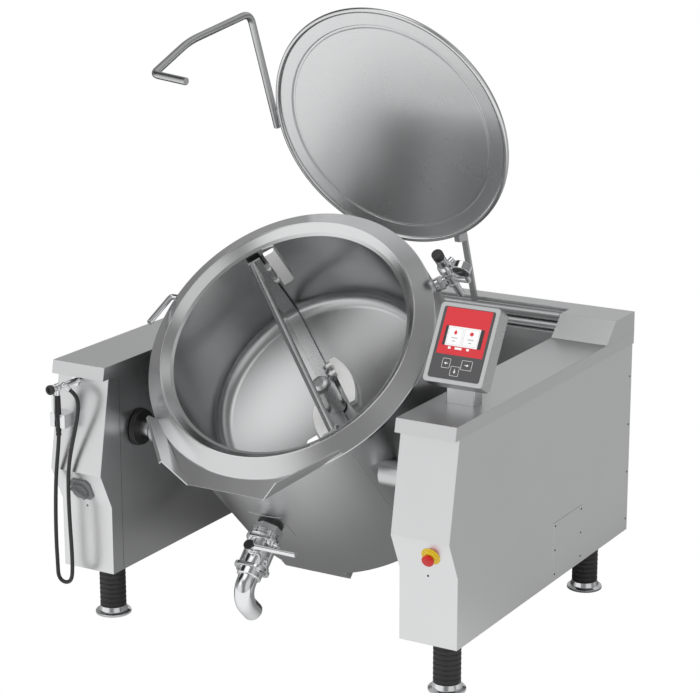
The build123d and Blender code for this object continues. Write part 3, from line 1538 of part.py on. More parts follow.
def gun_holder():
    """Bracket with a slot for the grip, fixed on the column."""
    low = gun_foot + holder_low
    high = low + holder_height
    half = holder_width / 2
    middle = gun_x + holder_shift
    front = hose_plane - holder_lips
    shape = block(middle - half, middle + half, front, body_setback, low, high)
    slot_radius = grip_radius + side_gap
    slot = block(gun_x - slot_radius, gun_x + slot_radius, front - 1, hose_plane, low - 1, high + 1)
    slot += Pos(gun_x, hose_plane, (low + high) / 2) * Cylinder(slot_radius, holder_height + 2)
    room_half = half - holder_wall
    room_front = hose_plane + grip_radius + 2 * sheet
    room = block(
        middle - room_half, middle + room_half, room_front, body_setback,
        low + holder_wall, high - holder_wall,
    )
    return shape - slot - room - left_column


put("hose_outlet", hose_outlet())
put("spray_hose", spray_hose())
put("gun_grip", [gun_grip(), gun_nozzle()])
put("gun_head", [gun_head(), gun_ferrule()])
put("gun_trigger", gun_trigger())
put("gun_holder", gun_holder())


# ---------------------------------------------------------------- the finished machine
def middle_of_depth():
    """Middle of the whole machine from front to rear."""
    boxes = [shape.bounding_box() for shapes in nodes.values() for shape in shapes]
    return (min(box.min.Y for box in boxes) + max(box.max.Y for box in boxes)) / 2


centring = Pos(0, -middle_of_depth(), 0)
for name, shapes in nodes.items():
    placed = [centring * shape for shape in shapes]
    solids = [solid for shape in placed for solid in shape.solids()]
    piece = solids[0] if len(solids) == 1 else Compound(children=solids)
    export_step(piece, f"parts/{name}.step")
print("moved by", round(-middle_of_depth(), 3), "mm along Y;", len(nodes), "pieces")
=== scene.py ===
import json
import math

import bmesh
import bpy
import numpy as np
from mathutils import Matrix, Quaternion, Vector

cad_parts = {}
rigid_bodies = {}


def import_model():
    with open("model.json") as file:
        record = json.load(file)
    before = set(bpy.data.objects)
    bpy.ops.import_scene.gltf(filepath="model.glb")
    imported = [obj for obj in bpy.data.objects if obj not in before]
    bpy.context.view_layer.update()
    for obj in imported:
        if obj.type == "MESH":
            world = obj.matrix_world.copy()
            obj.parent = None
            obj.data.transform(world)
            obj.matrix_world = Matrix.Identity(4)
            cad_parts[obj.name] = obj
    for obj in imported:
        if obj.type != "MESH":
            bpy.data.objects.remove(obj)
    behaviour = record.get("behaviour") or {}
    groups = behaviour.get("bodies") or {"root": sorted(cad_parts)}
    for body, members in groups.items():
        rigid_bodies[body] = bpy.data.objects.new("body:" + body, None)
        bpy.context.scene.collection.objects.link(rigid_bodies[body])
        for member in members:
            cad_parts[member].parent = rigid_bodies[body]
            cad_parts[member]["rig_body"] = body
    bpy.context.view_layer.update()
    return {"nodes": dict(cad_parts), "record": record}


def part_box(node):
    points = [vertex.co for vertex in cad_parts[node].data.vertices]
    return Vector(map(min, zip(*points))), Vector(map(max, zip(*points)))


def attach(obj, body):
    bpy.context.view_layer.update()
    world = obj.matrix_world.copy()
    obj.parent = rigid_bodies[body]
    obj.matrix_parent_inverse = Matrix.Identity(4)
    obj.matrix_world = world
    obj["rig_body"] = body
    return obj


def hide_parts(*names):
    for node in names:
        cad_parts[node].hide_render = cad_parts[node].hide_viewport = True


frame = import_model()

bl_info = {
    "name": "Steam Jacketed Kettle",
    "version": (1, 0, 0),
    "blender": (4, 5, 0),
    "location": "View3D > Sidebar > Kettle",
    "description": "Dresses a tilting kettle: sheet metal, turned fittings, controls, spray hose and finishes",
    "category": "Object",
}

# Lengths are in metres and angles in degrees, in the frame of the machine: X right, Y back, Z up.
CAP_LEAN = 0.009
CAP_LOW, CAP_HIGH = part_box("column_cap_right")
FRONT_Y = CAP_LOW.y + CAP_LEAN
MID_X = (CAP_LOW.x + CAP_HIGH.x) / 2
OUTER_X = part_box("column_shell_right")[1].x
INNER_X = CAP_LOW.x
NEAR = 1e-6                    # points closer than this are one point
MERGE = 2e-5                   # the same for the loose triangles of a solid's mesh
LIFT = 0.0003                  # thickness of a printed area, a hole's mark or a seam's line
SHARP_ANGLE = math.radians(32)
BEVEL_ANGLE = math.radians(28)
FLAT_ANGLE = math.radians(0.8)

SLOT_OF = {row["node"]: row["material_slot"] for row in frame["record"]["subparts"]}
FINISHES = {}


# ---------------------------------------------------------------- places
def move(x, y, z):
    """Matrix that moves by (x, y, z)."""
    matrix = np.eye(4)
    matrix[:3, 3] = (x, y, z)
    return matrix


def turn(axis, degrees):
    """Matrix that turns about one of the axes "x", "y" and "z" by the right-hand rule."""
    angle = math.radians(degrees)
    first, second = {"x": (1, 2), "y": (2, 0), "z": (0, 1)}[axis]
    matrix = np.eye(4)
    matrix[first, first] = matrix[second, second] = math.cos(angle)
    matrix[second, first] = math.sin(angle)
    matrix[first, second] = -math.sin(angle)
    return matrix


# Tilts and turns of the rest pose, and the places that the pieces are worked out in. The kettle's
# place has its origin in the middle of the rim, with Z along the bowl's axis.
REST_TILT = 45.4
LID_OPEN = 70.6
STIRRER_TURN = -45.65
PANEL_LEAN = 30.0
CHIN_TURN = 114.66
DRAIN_DROP = 0.353
GROUP_TURN = math.radians(50.0)
GROUP_REACH = 0.545
TRUNNION = move(0, FRONT_Y + 0.183, 0.6565)
KETTLE = TRUNNION @ turn("x", REST_TILT) @ move(0, 0.296, 0.2225)
STIRRER = KETTLE @ turn("z", STIRRER_TURN)
LID = move(0, FRONT_Y + 1.1777, 0.9433) @ turn("x", -LID_OPEN) @ move(0, -0.6983, -0.05)
PANEL = move(MID_X, FRONT_Y + 0.155, 0.978) @ turn("x", 90 - PANEL_LEAN)
CHIN = move(MID_X, FRONT_Y - 0.007, 0.483) @ turn("x", CHIN_TURN)
DRAIN = KETTLE @ move(0, 0, -DRAIN_DROP) @ turn("x", 90)
GROUP = KETTLE @ move(GROUP_REACH * math.sin(GROUP_TURN), GROUP_REACH * math.cos(GROUP_TURN), 0)


# ---------------------------------------------------------------- surfaces
def surface(name, grid, place=None, wrap_u=False, wrap_v=False):
    """Mesh over a grid of points (u, v, 3): each cell is a face, and wrapped sides close on
    themselves. Points that meet at a pole are merged, and the faces are turned outwards."""
    rows, columns = grid.shape[:2]
    points = grid.reshape(-1, 3)
    if place is not None:
        points = points @ place[:3, :3].T + place[:3, 3]
    u = np.arange(rows if wrap_u else rows - 1)
    v = np.arange(columns if wrap_v else columns - 1)
    u, v = np.meshgrid(u, v, indexing="ij")
    next_u, next_v = (u + 1) % rows, (v + 1) % columns
    faces = np.stack(
        [u * columns + v, next_u * columns + v, next_u * columns + next_v, u * columns + next_v], axis=-1
    ).reshape(-1, 4)
    mesh = bpy.data.meshes.new(name)
    mesh.from_pydata(points.tolist(), [], faces.tolist())
    return linked(name, cleaned(mesh))


def cleaned(mesh):
    """Merges doubled points, drops empty faces and turns the faces outwards."""
    work = bmesh.new()
    work.from_mesh(mesh)
    bmesh.ops.remove_doubles(work, verts=work.verts, dist=NEAR)
    bmesh.ops.dissolve_degenerate(work, edges=work.edges, dist=NEAR)
    bmesh.ops.recalc_face_normals(work, faces=work.faces)
    work.to_mesh(mesh)
    work.free()
    return mesh


def linked(name, mesh):
    """An object for a finished mesh, shaded smooth but for its sharp edges."""
    mesh.shade_smooth()
    mesh.set_sharp_from_angle(angle=SHARP_ANGLE)
    piece = bpy.data.objects.new(name, mesh)
    bpy.context.scene.collection.objects.link(piece)
    return piece


def rounded(points, radius, steps=4, closed=True):
    """Outline whose corners become curves: between the two points at the radius's reach from a
    corner, the outline follows the parabola that touches both of its sides."""
    points = np.asarray(points, float)
    count = len(points)
    radii = np.broadcast_to(radius, count)
    t = np.linspace(0, 1, steps + 1)[:, None]
    outline = []
    for index, corner in enumerate(points):
        at_end = not closed and index in (0, count - 1)
        if at_end or radii[index] == 0:
            outline.append(corner[None])
            continue
        before = points[index - 1] - corner
        after = points[(index + 1) % count] - corner
        length_in, length_out = np.linalg.norm(before), np.linalg.norm(after)
        cosine = np.clip(before @ after / (length_in * length_out), -0.9999, 0.9999)
        reach = min(radii[index] / math.tan(math.acos(cosine) / 2), 0.48 * length_in, 0.48 * length_out)
        start = corner + before / length_in * reach
        end = corner + after / length_out * reach
        outline.append((1 - t) ** 2 * start + 2 * t * (1 - t) * corner + t**2 * end)
    return np.concatenate(outline)


def turned(name, profile, place, sides=96):
    """Profile of (radius, height) carried round the placed Z axis: point(u, v) is
    (r(v) cos u, r(v) sin u, z(v)). A profile that doesn't touch the axis closes on itself."""
    profile = np.asarray(profile, float)
    angle = np.linspace(0, 2 * np.pi, sides, endpoint=False)[:, None]
    radius, height = profile[:, 0], profile[:, 1]
    grid = np.stack(
        [np.cos(angle) * radius, np.sin(angle) * radius,
         np.broadcast_to(height, (sides, len(profile)))], axis=-1
    )
    closed = max(profile[0, 0], profile[-1, 0]) > NEAR
    return surface(name, grid, place, wrap_u=True, wrap_v=closed)


def frames_along(path, normal=None):
    """Unit tangents of a path and two unit vectors across it: the first is square to the tangent
    and to a given direction, or else to the path's mean plane's normal."""
    tangent = np.gradient(path, axis=0)
    tangent /= np.linalg.norm(tangent, axis=1)[:, None]
    if normal is None:
        directions = np.linalg.svd(path - path.mean(0))[2]
        normal = directions[1] if abs(tangent @ directions[-1]).max() > 0.9 else directions[-1]
    side = np.cross(tangent, normal)
    side /= np.linalg.norm(side, axis=1)[:, None]
    return tangent, side, np.cross(side, tangent)


def tube(name, path, radius, place=None, sides=28, bore=0.0, edge=0.0008, normal=None):
    """Round bar or pipe along a path: point(u, v) = path(u) + r (cos v side + sin v up). With a bore
    it runs back inside itself, and without one its ends close in a point behind a round edge."""
    path = np.asarray(path, float)
    tangent, side, up = frames_along(path, normal)
    radii = np.full(len(path), radius, float)
    if bore:
        order = np.r_[np.arange(len(path)), np.arange(len(path))[::-1]]
        radii = np.r_[radii, np.full(len(path), bore)]
        path, side, up = path[order], side[order], up[order]
    else:
        start, end = path[0], path[-1]
        head = [start, start, start + tangent[0] * edge]
        tail = [end - tangent[-1] * edge, end, end]
        path = np.vstack([head, path[1:-1], tail])
        side = np.vstack([side[:1]] * 3 + [side[1:-1]] + [side[-1:]] * 3)
        up = np.vstack([up[:1]] * 3 + [up[1:-1]] + [up[-1:]] * 3)
        radii = np.r_[0, radius - edge, radius, radii[1:-1], radius, radius - edge, 0]
    angle = np.linspace(0, 2 * np.pi, sides, endpoint=False)
    circle = np.cos(angle)[:, None] * side[:, None, :] + np.sin(angle)[:, None] * up[:, None, :]
    grid = path[:, None, :] + radii[:, None, None] * circle
    return surface(name, grid, place, wrap_u=bool(bore), wrap_v=True)


def bent(points, radii, steps=10):
    """Path with round bends and straight runs."""
    return rounded(points, radii, steps, closed=False)


def plate(name, outline, low, high, place, edge=0.0008):
    """Outline in the placed XY plane given a thickness. The rings go from the middle of the
    underside, out over a round edge, up the side, over the upper edge and in to the middle."""
    outline = np.asarray(outline, float)
    along = np.roll(outline, -1, axis=0) - np.roll(outline, 1, axis=0)
    inward = np.stack([-along[:, 1], along[:, 0]], axis=1)
    inward /= np.linalg.norm(inward, axis=1)[:, None]
    middle = np.broadcast_to(outline.mean(0), outline.shape)
    inset = outline + inward * edge
    half = outline + inward * edge * 0.3
    rings = [middle, inset, half, outline, outline, half, inset, middle]
    heights = [low, low, low + 0.3 * edge, low + edge, high - edge, high - 0.3 * edge, high, high]
    grid = np.stack(
        [np.column_stack([ring, np.full(len(ring), height)]) for ring, height in zip(rings, heights)]
    )
    return surface(name, grid, place, wrap_v=True)


def rectangle(width, height, corner, middle=(0, 0), steps=5):
    """Rounded rectangle's outline, anticlockwise."""
    x, y = width / 2, height / 2
    points = np.array([(-x, -y), (x, -y), (x, y), (-x, y)]) + middle
    return rounded(points, corner, steps)


def polygon(sides, across, middle=(0, 0), corner=0.0):
    """Regular polygon's outline by its width across the flats."""
    angle = (np.arange(sides) + 0.5) * 2 * np.pi / sides
    radius = across / 2 / math.cos(math.pi / sides)
    points = radius * np.stack([np.cos(angle), np.sin(angle)], axis=1) + middle
    return rounded(points, corner, 3) if corner else points


def circle(radius, middle=(0, 0), sides=32):
    """Circle's outline, anticlockwise."""
    angle = np.linspace(0, 2 * np.pi, sides, endpoint=False)
    return radius * np.stack([np.cos(angle), np.sin(angle)], axis=1) + middle


def hex_bar(name, across, low, high, place):
    """Hexagonal nut with small round edges."""
    return plate(name, polygon(6, across, corner=across * 0.02), low, high, place, edge=across * 0.025)


def softened(node, width):
    """A merged copy of a node's own shape with narrow round edges."""
    mesh = frame["nodes"][node].data.copy()
    mesh.materials.clear()
    work = bmesh.new()
    work.from_mesh(mesh)
    bmesh.ops.remove_doubles(work, verts=work.verts, dist=MERGE)
    bmesh.ops.dissolve_limit(work, angle_limit=FLAT_ANGLE, verts=work.verts, edges=work.edges)
    work.to_mesh(mesh)
    work.free()
    for layer in list(mesh.uv_layers):
        mesh.uv_layers.remove(layer)
    if "custom_normal" in mesh.attributes:
        mesh.attributes.remove(mesh.attributes["custom_normal"])
    piece = linked(node + "_finished", mesh)
    bevel = piece.modifiers.new("round_edges", "BEVEL")
    bevel.width = width
    bevel.segments = 2
    bevel.limit_method = "ANGLE"
    bevel.angle_limit = BEVEL_ANGLE
    return dress(piece, node)


def dress(piece, node, replace=True, slot=None):
    """Gives a piece its node's body and finish, or the finish of another slot, and lets it stand for
    the node unless it is an addition to it."""
    slot = slot or SLOT_OF[node]
    piece.data.materials.clear()
    piece.data.materials.append(FINISHES[slot])
    if piece.type == "MESH":
        even = piece.modifiers.new("flat_faces_shade_flat", "WEIGHTED_NORMAL")
        even.keep_sharp = True
        even.weight = 80
    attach(piece, frame["nodes"][node]["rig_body"])
    slot if slot in SLOT_OF.values() else SLOT_OF[node]
    if replace:
        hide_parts(node)
    return piece


def turned_part(node, name, profile, edge, place, sides=48, closed=False, slot=None):
    """Turned piece of a node, with the corners of its profile rounded."""
    return dress(turned(name, rounded(profile, edge, closed=closed), place, sides), node, slot=slot)


# ---------------------------------------------------------------- finishes
def new_group(name, inputs, outputs):
    """Empty shader node group with its sockets, and its input and output nodes."""
    group = bpy.data.node_groups.new(name, "ShaderNodeTree")
    for label, kind, value in inputs:
        socket = group.interface.new_socket(name=label, in_out="INPUT", socket_type=kind)
        socket.default_value = value
    for label, kind in outputs:
        group.interface.new_socket(name=label, in_out="OUTPUT", socket_type=kind)
    return group, group.nodes.new("NodeGroupInput"), group.nodes.new("NodeGroupOutput")


def feed(tree, socket, value):
    """Sets a socket to a number or links it to another socket."""
    if isinstance(value, (int, float)):
        socket.default_value = value
    else:
        tree.links.new(value, socket)


def math_node(tree, operation, first, second):
    """Math node fed by sockets or numbers."""
    node = tree.nodes.new("ShaderNodeMath")
    node.operation = operation
    for socket, value in zip(node.inputs, (first, second)):
        feed(tree, socket, value)
    return node.outputs[0]


def noise_node(tree, vector, scale, detail, roughness=0.5):
    """Noise texture's value over a vector."""
    node = tree.nodes.new("ShaderNodeTexNoise")
    node.inputs["Detail"].default_value = detail
    node.inputs["Roughness"].default_value = roughness
    tree.links.new(vector, node.inputs["Vector"])
    feed(tree, node.inputs["Scale"], scale)
    return node.outputs["Fac"]


def scaled_colour(tree, colour, factor):
    """Colour times a value."""
    node = tree.nodes.new("ShaderNodeVectorMath")
    node.operation = "SCALE"
    tree.links.new(colour, node.inputs[0])
    tree.links.new(factor, node.inputs["Scale"])
    return node.outputs[0]


CLOUD_SCALE = 3.5
CLOUD_DETAIL = 2.0
GRAIN_DETAIL = 3.0
GRAIN_ROUGHNESS = 0.6
GRAIN_DEPTH = 0.0005
PLASTIC_IOR = 1.5


def make_grain():
    """Drawn-out grain over large soft clouds, for steel, plastics and rubber."""
    group, given, out = new_group(
        "surface_grain",
        [
            ("Vector", "NodeSocketVector", (0, 0, 0)),
            ("Stretch", "NodeSocketVector", (1, 1, 1)),
            ("Fineness", "NodeSocketFloat", 200.0),
            ("Color", "NodeSocketColor", (0.6, 0.6, 0.6, 1)),
            ("Contrast", "NodeSocketFloat", 0.1),
            ("Clouds", "NodeSocketFloat", 0.05),
            ("Roughness", "NodeSocketFloat", 0.3),
            ("Spread", "NodeSocketFloat", 0.06),
        ],
        [("Color", "NodeSocketColor"), ("Roughness", "NodeSocketFloat"), ("Height", "NodeSocketFloat")],
    )
    stretch = group.nodes.new("ShaderNodeVectorMath")
    stretch.operation = "MULTIPLY"
    group.links.new(given.outputs["Vector"], stretch.inputs[0])
    group.links.new(given.outputs["Stretch"], stretch.inputs[1])
    fine = noise_node(group, stretch.outputs[0], given.outputs["Fineness"], GRAIN_DETAIL, GRAIN_ROUGHNESS)
    cloud = noise_node(group, given.outputs["Vector"], CLOUD_SCALE, CLOUD_DETAIL)
    fine_off = math_node(group, "SUBTRACT", fine, 0.5)
    cloud_off = math_node(group, "SUBTRACT", cloud, 0.5)
    tone = math_node(group, "MULTIPLY", fine_off, given.outputs["Contrast"])
    haze = math_node(group, "MULTIPLY", cloud_off, given.outputs["Clouds"])
    factor = math_node(group, "ADD", math_node(group, "ADD", tone, haze), 1.0)
    rough = math_node(group, "MULTIPLY", math_node(group, "ADD", fine_off, cloud_off),
                      given.outputs["Spread"])
    group.links.new(scaled_colour(group, given.outputs["Color"], factor), out.inputs["Color"])
    group.links.new(math_node(group, "ADD", rough, given.outputs["Roughness"]), out.inputs["Roughness"])
    group.links.new(fine, out.inputs["Height"])
    return group


def make_round_coordinates():
    """Turns a placed position into (distance from the axis, angle round it, height)."""
    group, given, out = new_group(
        "round_coordinates", [("Vector", "NodeSocketVector", (0, 0, 0))], [("Vector", "NodeSocketVector")]
    )
    split = group.nodes.new("ShaderNodeSeparateXYZ")
    join = group.nodes.new("ShaderNodeCombineXYZ")
    group.links.new(given.outputs["Vector"], split.inputs[0])
    x, y, z = split.outputs
    square = math_node(group, "ADD", math_node(group, "MULTIPLY", x, x), math_node(group, "MULTIPLY", y, y))
    group.links.new(math_node(group, "POWER", square, 0.5), join.inputs[0])
    group.links.new(math_node(group, "ARCTAN2", y, x), join.inputs[1])
    group.links.new(z, join.inputs[2])
    group.links.new(join.outputs[0], out.inputs["Vector"])
    return group


def finish(
    slot, colour, metallic, roughness, stretch, fineness, contrast, clouds, spread, bump, axis=None, coat=0.0,
):
    """Material of one slot: grain over object coordinates, or round an axis where one is given as a
    position and a tilt about X."""
    material = bpy.data.materials.new(slot)
    material.use_nodes = True
    tree = material.node_tree
    shader = tree.nodes["Principled BSDF"]
    vector = tree.nodes.new("ShaderNodeTexCoord").outputs["Object"]
    if axis is not None:
        mapping = tree.nodes.new("ShaderNodeMapping")
        mapping.vector_type = "TEXTURE"
        mapping.inputs["Location"].default_value = axis[0]
        mapping.inputs["Rotation"].default_value = (math.radians(axis[1]), 0, 0)
        tree.links.new(vector, mapping.inputs["Vector"])
        around = tree.nodes.new("ShaderNodeGroup")
        around.node_tree = bpy.data.node_groups["round_coordinates"]
        tree.links.new(mapping.outputs[0], around.inputs["Vector"])
        vector = around.outputs["Vector"]
    grain = tree.nodes.new("ShaderNodeGroup")
    grain.node_tree = bpy.data.node_groups["surface_grain"]
    tree.links.new(vector, grain.inputs["Vector"])
    grain.inputs["Stretch"].default_value = stretch
    grain.inputs["Fineness"].default_value = fineness
    grain.inputs["Color"].default_value = (*colour, 1)
    grain.inputs["Contrast"].default_value = contrast
    grain.inputs["Clouds"].default_value = clouds
    grain.inputs["Roughness"].default_value = roughness
    grain.inputs["Spread"].default_value = spread
    relief = tree.nodes.new("ShaderNodeBump")
    relief.inputs["Strength"].default_value = bump
    relief.inputs["Distance"].default_value = GRAIN_DEPTH
    tree.links.new(grain.outputs["Height"], relief.inputs["Height"])
    tree.links.new(grain.outputs["Color"], shader.inputs["Base Color"])
    tree.links.new(grain.outputs["Roughness"], shader.inputs["Roughness"])
    tree.links.new(relief.outputs["Normal"], shader.inputs["Normal"])
    shader.inputs["Metallic"].default_value = metallic
    shader.inputs["Coat Weight"].default_value = coat
    shader.inputs["IOR"].default_value = PLASTIC_IOR
    FINISHES[slot] = material


STEEL_TOP = (0.70, 0.705, 0.71)
STEEL_FITTING = (0.60, 0.605, 0.61)
STEEL_CASING = (0.62, 0.625, 0.63)
STEEL_PALE = (0.74, 0.745, 0.75)
KETTLE_AXIS = (tuple(KETTLE[:3, 3]), REST_TILT)
LID_AXIS = (tuple(LID[:3, 3]), -LID_OPEN)

# How the grain's coordinates are stretched: a small factor draws it out along that axis.
EVEN = (1, 1, 1)
ROUND = (1.0, 0.03, 1.0)
UPWARD = (1.0, 1.0, 0.02)
BACKWARD = (1.0, 0.02, 1.0)
ACROSS = (0.02, 1.0, 1.0)


def make_finishes(colours):
    """Builds one material for each slot of the record, and those of marks and prints. The columns
    are: slot, colour, metallic, roughness, stretch, fineness, contrast, clouds, spread, bump."""
    make_grain()
    make_round_coordinates()
    pale = tuple(colours.housing_steel)
    finish("column_sheet", pale, 1, 0.30, UPWARD, 420, 0.05, 0.06, 0.05, 0.012)
    finish("column_top", tuple(colours.top_steel), 1, 0.34, BACKWARD, 420, 0.16, 0.10, 0.08, 0.04)
    finish("satin_steel", STEEL_FITTING, 1, 0.28, ACROSS, 400, 0.10, 0.08, 0.06, 0.02)
    finish("casing_steel", STEEL_CASING, 1, 0.33, ROUND, 380, 0.06, 0.06, 0.05, 0.008, KETTLE_AXIS)
    finish("bowl_steel", STEEL_FITTING, 1, 0.23, ROUND, 420, 0.05, 0.04, 0.03, 0.004, KETTLE_AXIS)
    finish("polished_steel", STEEL_PALE, 1, 0.20, ROUND, 420, 0.07, 0.05, 0.04, 0.015, KETTLE_AXIS)
    finish("lid_steel", STEEL_PALE, 1, 0.28, ROUND, 420, 0.05, 0.04, 0.03, 0.004, LID_AXIS)
    finish("chrome", (0.82, 0.83, 0.84), 1, 0.09, EVEN, 300, 0.02, 0.04, 0.05, 0.004)
    finish("black_rubber", (0.018, 0.018, 0.019), 0, 0.42, EVEN, 900, 0.35, 0.25, 0.10, 0.10)
    finish("black_plastic", (0.022, 0.022, 0.024), 0, 0.30, EVEN, 900, 0.30, 0.15, 0.08, 0.06)
    finish("grey_plastic", (0.20, 0.205, 0.21), 0, 0.24, EVEN, 900, 0.25, 0.15, 0.08, 0.06)
    finish("white_plastic", (0.93, 0.93, 0.92), 0, 0.38, EVEN, 600, 0.03, 0.05, 0.08, 0.04)
    finish("yellow_plastic", (0.85, 0.62, 0.03), 0, 0.30, EVEN, 700, 0.08, 0.08, 0.06, 0.03)
    finish("red_plastic", tuple(colours.stop_red), 0, 0.26, EVEN, 700, 0.10, 0.08, 0.06, 0.03)
    finish("dark_glass", (0.045, 0.045, 0.048), 0, 0.10, EVEN, 500, 0.15, 0.20, 0.04, 0.0, coat=0.6)
    finish("cast_housing", (0.22, 0.24, 0.27), 0, 0.45, EVEN, 500, 0.15, 0.15, 0.10, 0.15)
    finish("grey_box", (0.55, 0.55, 0.53), 0, 0.42, EVEN, 700, 0.08, 0.08, 0.08, 0.08)
    finish("print_red", tuple(colours.panel_red), 0, 0.16, EVEN, 500, 0.05, 0.05, 0.04, 0.0, coat=0.5)
    finish("print_white", (0.86, 0.86, 0.86), 0, 0.20, EVEN, 500, 0.03, 0.03, 0.04, 0.0, coat=0.4)
    finish("print_grey", (0.36, 0.37, 0.38), 0, 0.22, EVEN, 500, 0.05, 0.05, 0.04, 0.0, coat=0.4)
    finish("dial_black", (0.03, 0.03, 0.032), 0, 0.35, EVEN, 500, 0.15, 0.10, 0.06, 0.02)
    # seam_shadow: a dark finish that is painted shade in hole marks, spring slots and screw recesses, and the
    # dark line of a seam.
    finish("seam_shadow", (0.05, 0.05, 0.052), 0, 0.60, EVEN, 500, 0.20, 0.20, 0.10, 0.05)


# ---------------------------------------------------------------- sizes and colours a user would change
class KettleSizes(bpy.types.PropertyGroup):
    """Sizes of the fittings that the machine is dressed with."""

    hose_radius: bpy.props.FloatProperty(
        name="Hose radius", description="Outside radius of the spray hose", default=0.0065, unit="LENGTH"
    )
    sleeve_radius: bpy.props.FloatProperty(
        name="Foot sleeve radius", description="Radius over the ribs of a foot's black sleeve",
        default=0.044, unit="LENGTH",
    )
    base_radius: bpy.props.FloatProperty(
        name="Foot base radius", description="Radius of a foot's round base", default=0.060, unit="LENGTH"
    )
    foot_height: bpy.props.FloatProperty(
        name="Foot height", description="Floor to the columns' undersides", default=0.192, unit="LENGTH"
    )
    sheet_edge: bpy.props.FloatProperty(
        name="Sheet edge", description="Width of the round edge on folded sheet", default=0.0010,
        unit="LENGTH",
    )
    screw_radius: bpy.props.FloatProperty(
        name="Screw radius", description="Radius of a housing screw's head", default=0.0042, unit="LENGTH"
    )


class KettleColours(bpy.types.PropertyGroup):
    """Colours of the finishes."""

    housing_steel: bpy.props.FloatVectorProperty(
        name="Housing steel", description="Brushed steel of the columns", default=STEEL_PALE,
        subtype="COLOR", min=0, max=1,
    )
    top_steel: bpy.props.FloatVectorProperty(
        name="Top steel", description="Brushed steel of the columns' tops", default=STEEL_TOP,
        subtype="COLOR", min=0, max=1,
    )
    stop_red: bpy.props.FloatVectorProperty(
        name="Stop button red", description="Stop button's plastic", default=(0.62, 0.012, 0.010),
        subtype="COLOR", min=0, max=1,
    )
    panel_red: bpy.props.FloatVectorProperty(
        name="Panel red", description="Printed field of the control face", default=(0.60, 0.008, 0.018),
        subtype="COLOR", min=0, max=1,
    )


# ---------------------------------------------------------------- stage
LENS = 117.05
SENSOR = 36.0
CAMERA_AZIMUTH = math.radians(30.543)
CAMERA_HEIGHT = math.radians(15.227)
CAMERA_ROLL = math.radians(-0.074)
CAMERA_DISTANCE = 6.75055
CAMERA_REACH = 60
CAMERA_TARGET = Vector((0.37575, FRONT_Y, 1.09589))
DIFFUSE_LEVEL = 0.74
LAMP_TARGET = Vector((0.0, 0.0, 0.8))


def background(tree, strength):
    """White world emission of one strength."""
    node = tree.nodes.new("ShaderNodeBackground")
    node.inputs["Color"].default_value = (1, 1, 1, 1)
    feed(tree, node.inputs["Strength"], strength)
    return node.outputs[0]


def mixed(tree, factor, first, second):
    """Mix of two shaders."""
    node = tree.nodes.new("ShaderNodeMixShader")
    tree.links.new(factor, node.inputs[0])
    tree.links.new(first, node.inputs[1])
    tree.links.new(second, node.inputs[2])
    return node.outputs[0]


def smooth_step(tree, value, start, end, gain=1.0):
    """Map Range node that rises smoothly from 0 at the start to its gain at the end."""
    step = tree.nodes.new("ShaderNodeMapRange")
    step.interpolation_type = "SMOOTHSTEP"
    step.inputs["From Min"].default_value = start
    step.inputs["From Max"].default_value = end
    step.inputs["To Max"].default_value = gain
    tree.links.new(value, step.inputs["Value"])
    return step.outputs["Result"]


# Soft panels of the studio: a direction, the angle where each fades out, the angle where it is full,
# and its gain.
STUDIO_BASE = 0.25
STUDIO_LEAST = 0.03
STUDIO_PANELS = (
    ((-0.49, -0.87, 0.05), 42, 14, 0.62),
    ((-0.14, -0.38, 0.92), 27, 6, 1.15),
    ((-0.70, -0.16, 0.70), 36, 14, -0.24),
    ((-0.49, -0.66, 0.57), 18, 8, 0.55),
    ((0.85, -0.45, 0.30), 34, 14, 0.45),
    ((-0.10, 0.90, 0.45), 38, 12, 0.20),
    ((-0.49, 0.83, 0.26), 26, 8, 0.16),
    ((0.35, 0.55, 0.75), 30, 10, 0.30),
)


def studio_tone(tree):
    """Studio seen in metal: an even grey with soft panels, each the smooth step of its angle."""
    direction = tree.nodes.new("ShaderNodeTexCoord").outputs["Object"]
    tone = STUDIO_BASE
    for panel, fade, full, gain in STUDIO_PANELS:
        toward = tree.nodes.new("ShaderNodeVectorMath")
        toward.operation = "DOT_PRODUCT"
        tree.links.new(direction, toward.inputs[0])
        toward.inputs[1].default_value = Vector(panel).normalized()
        edges = [math.cos(math.radians(angle)) for angle in (fade, full)]
        tone = math_node(tree, "ADD", smooth_step(tree, toward.outputs["Value"], *edges, gain), tone)
    return math_node(tree, "MAXIMUM", tone, STUDIO_LEAST)


def make_world():
    """White to the camera, a soft studio to glossy rays and a plain level to everything else."""
    world = bpy.data.worlds.new("studio_world")
    world.use_nodes = True
    tree = world.node_tree
    tree.nodes.clear()
    path = tree.nodes.new("ShaderNodeLightPath")
    mirrors = math_node(tree, "MAXIMUM", path.outputs["Is Glossy Ray"], path.outputs["Is Transmission Ray"])
    level = background(tree, DIFFUSE_LEVEL)
    studio = background(tree, studio_tone(tree))
    white = background(tree, 1.0)
    seen = mixed(tree, mirrors, level, studio)
    out = tree.nodes.new("ShaderNodeOutputWorld")
    tree.links.new(mixed(tree, path.outputs["Is Camera Ray"], seen, white), out.inputs["Surface"])
    bpy.context.scene.world = world


# Floor seen in metal, a painted emission: its tones, a painted light in front and a painted shadow under and
# behind the machine, and the bands of Y or X over which one tone goes over into another.
FLOOR_FRONT, FLOOR_BACK, FLOOR_SHADE, FLOOR_UNDER = 0.92, 0.43, 0.06, 0.25
FRONT_BAND = (0.4, -0.9)
RIGHT_BAND = (1.05, 0.55)
SHADE_BAND = (-0.75, -0.15)
UNDER_BAND = (0.55, 0.15)
LEFT_BAND = (-0.75, -0.35)
FLOOR_HALF = 14.0
FLOOR_DROP = 0.0005
FLOOR_GREY = (0.80, 0.80, 0.80, 1)
FLOOR_ROUGHNESS = 0.7


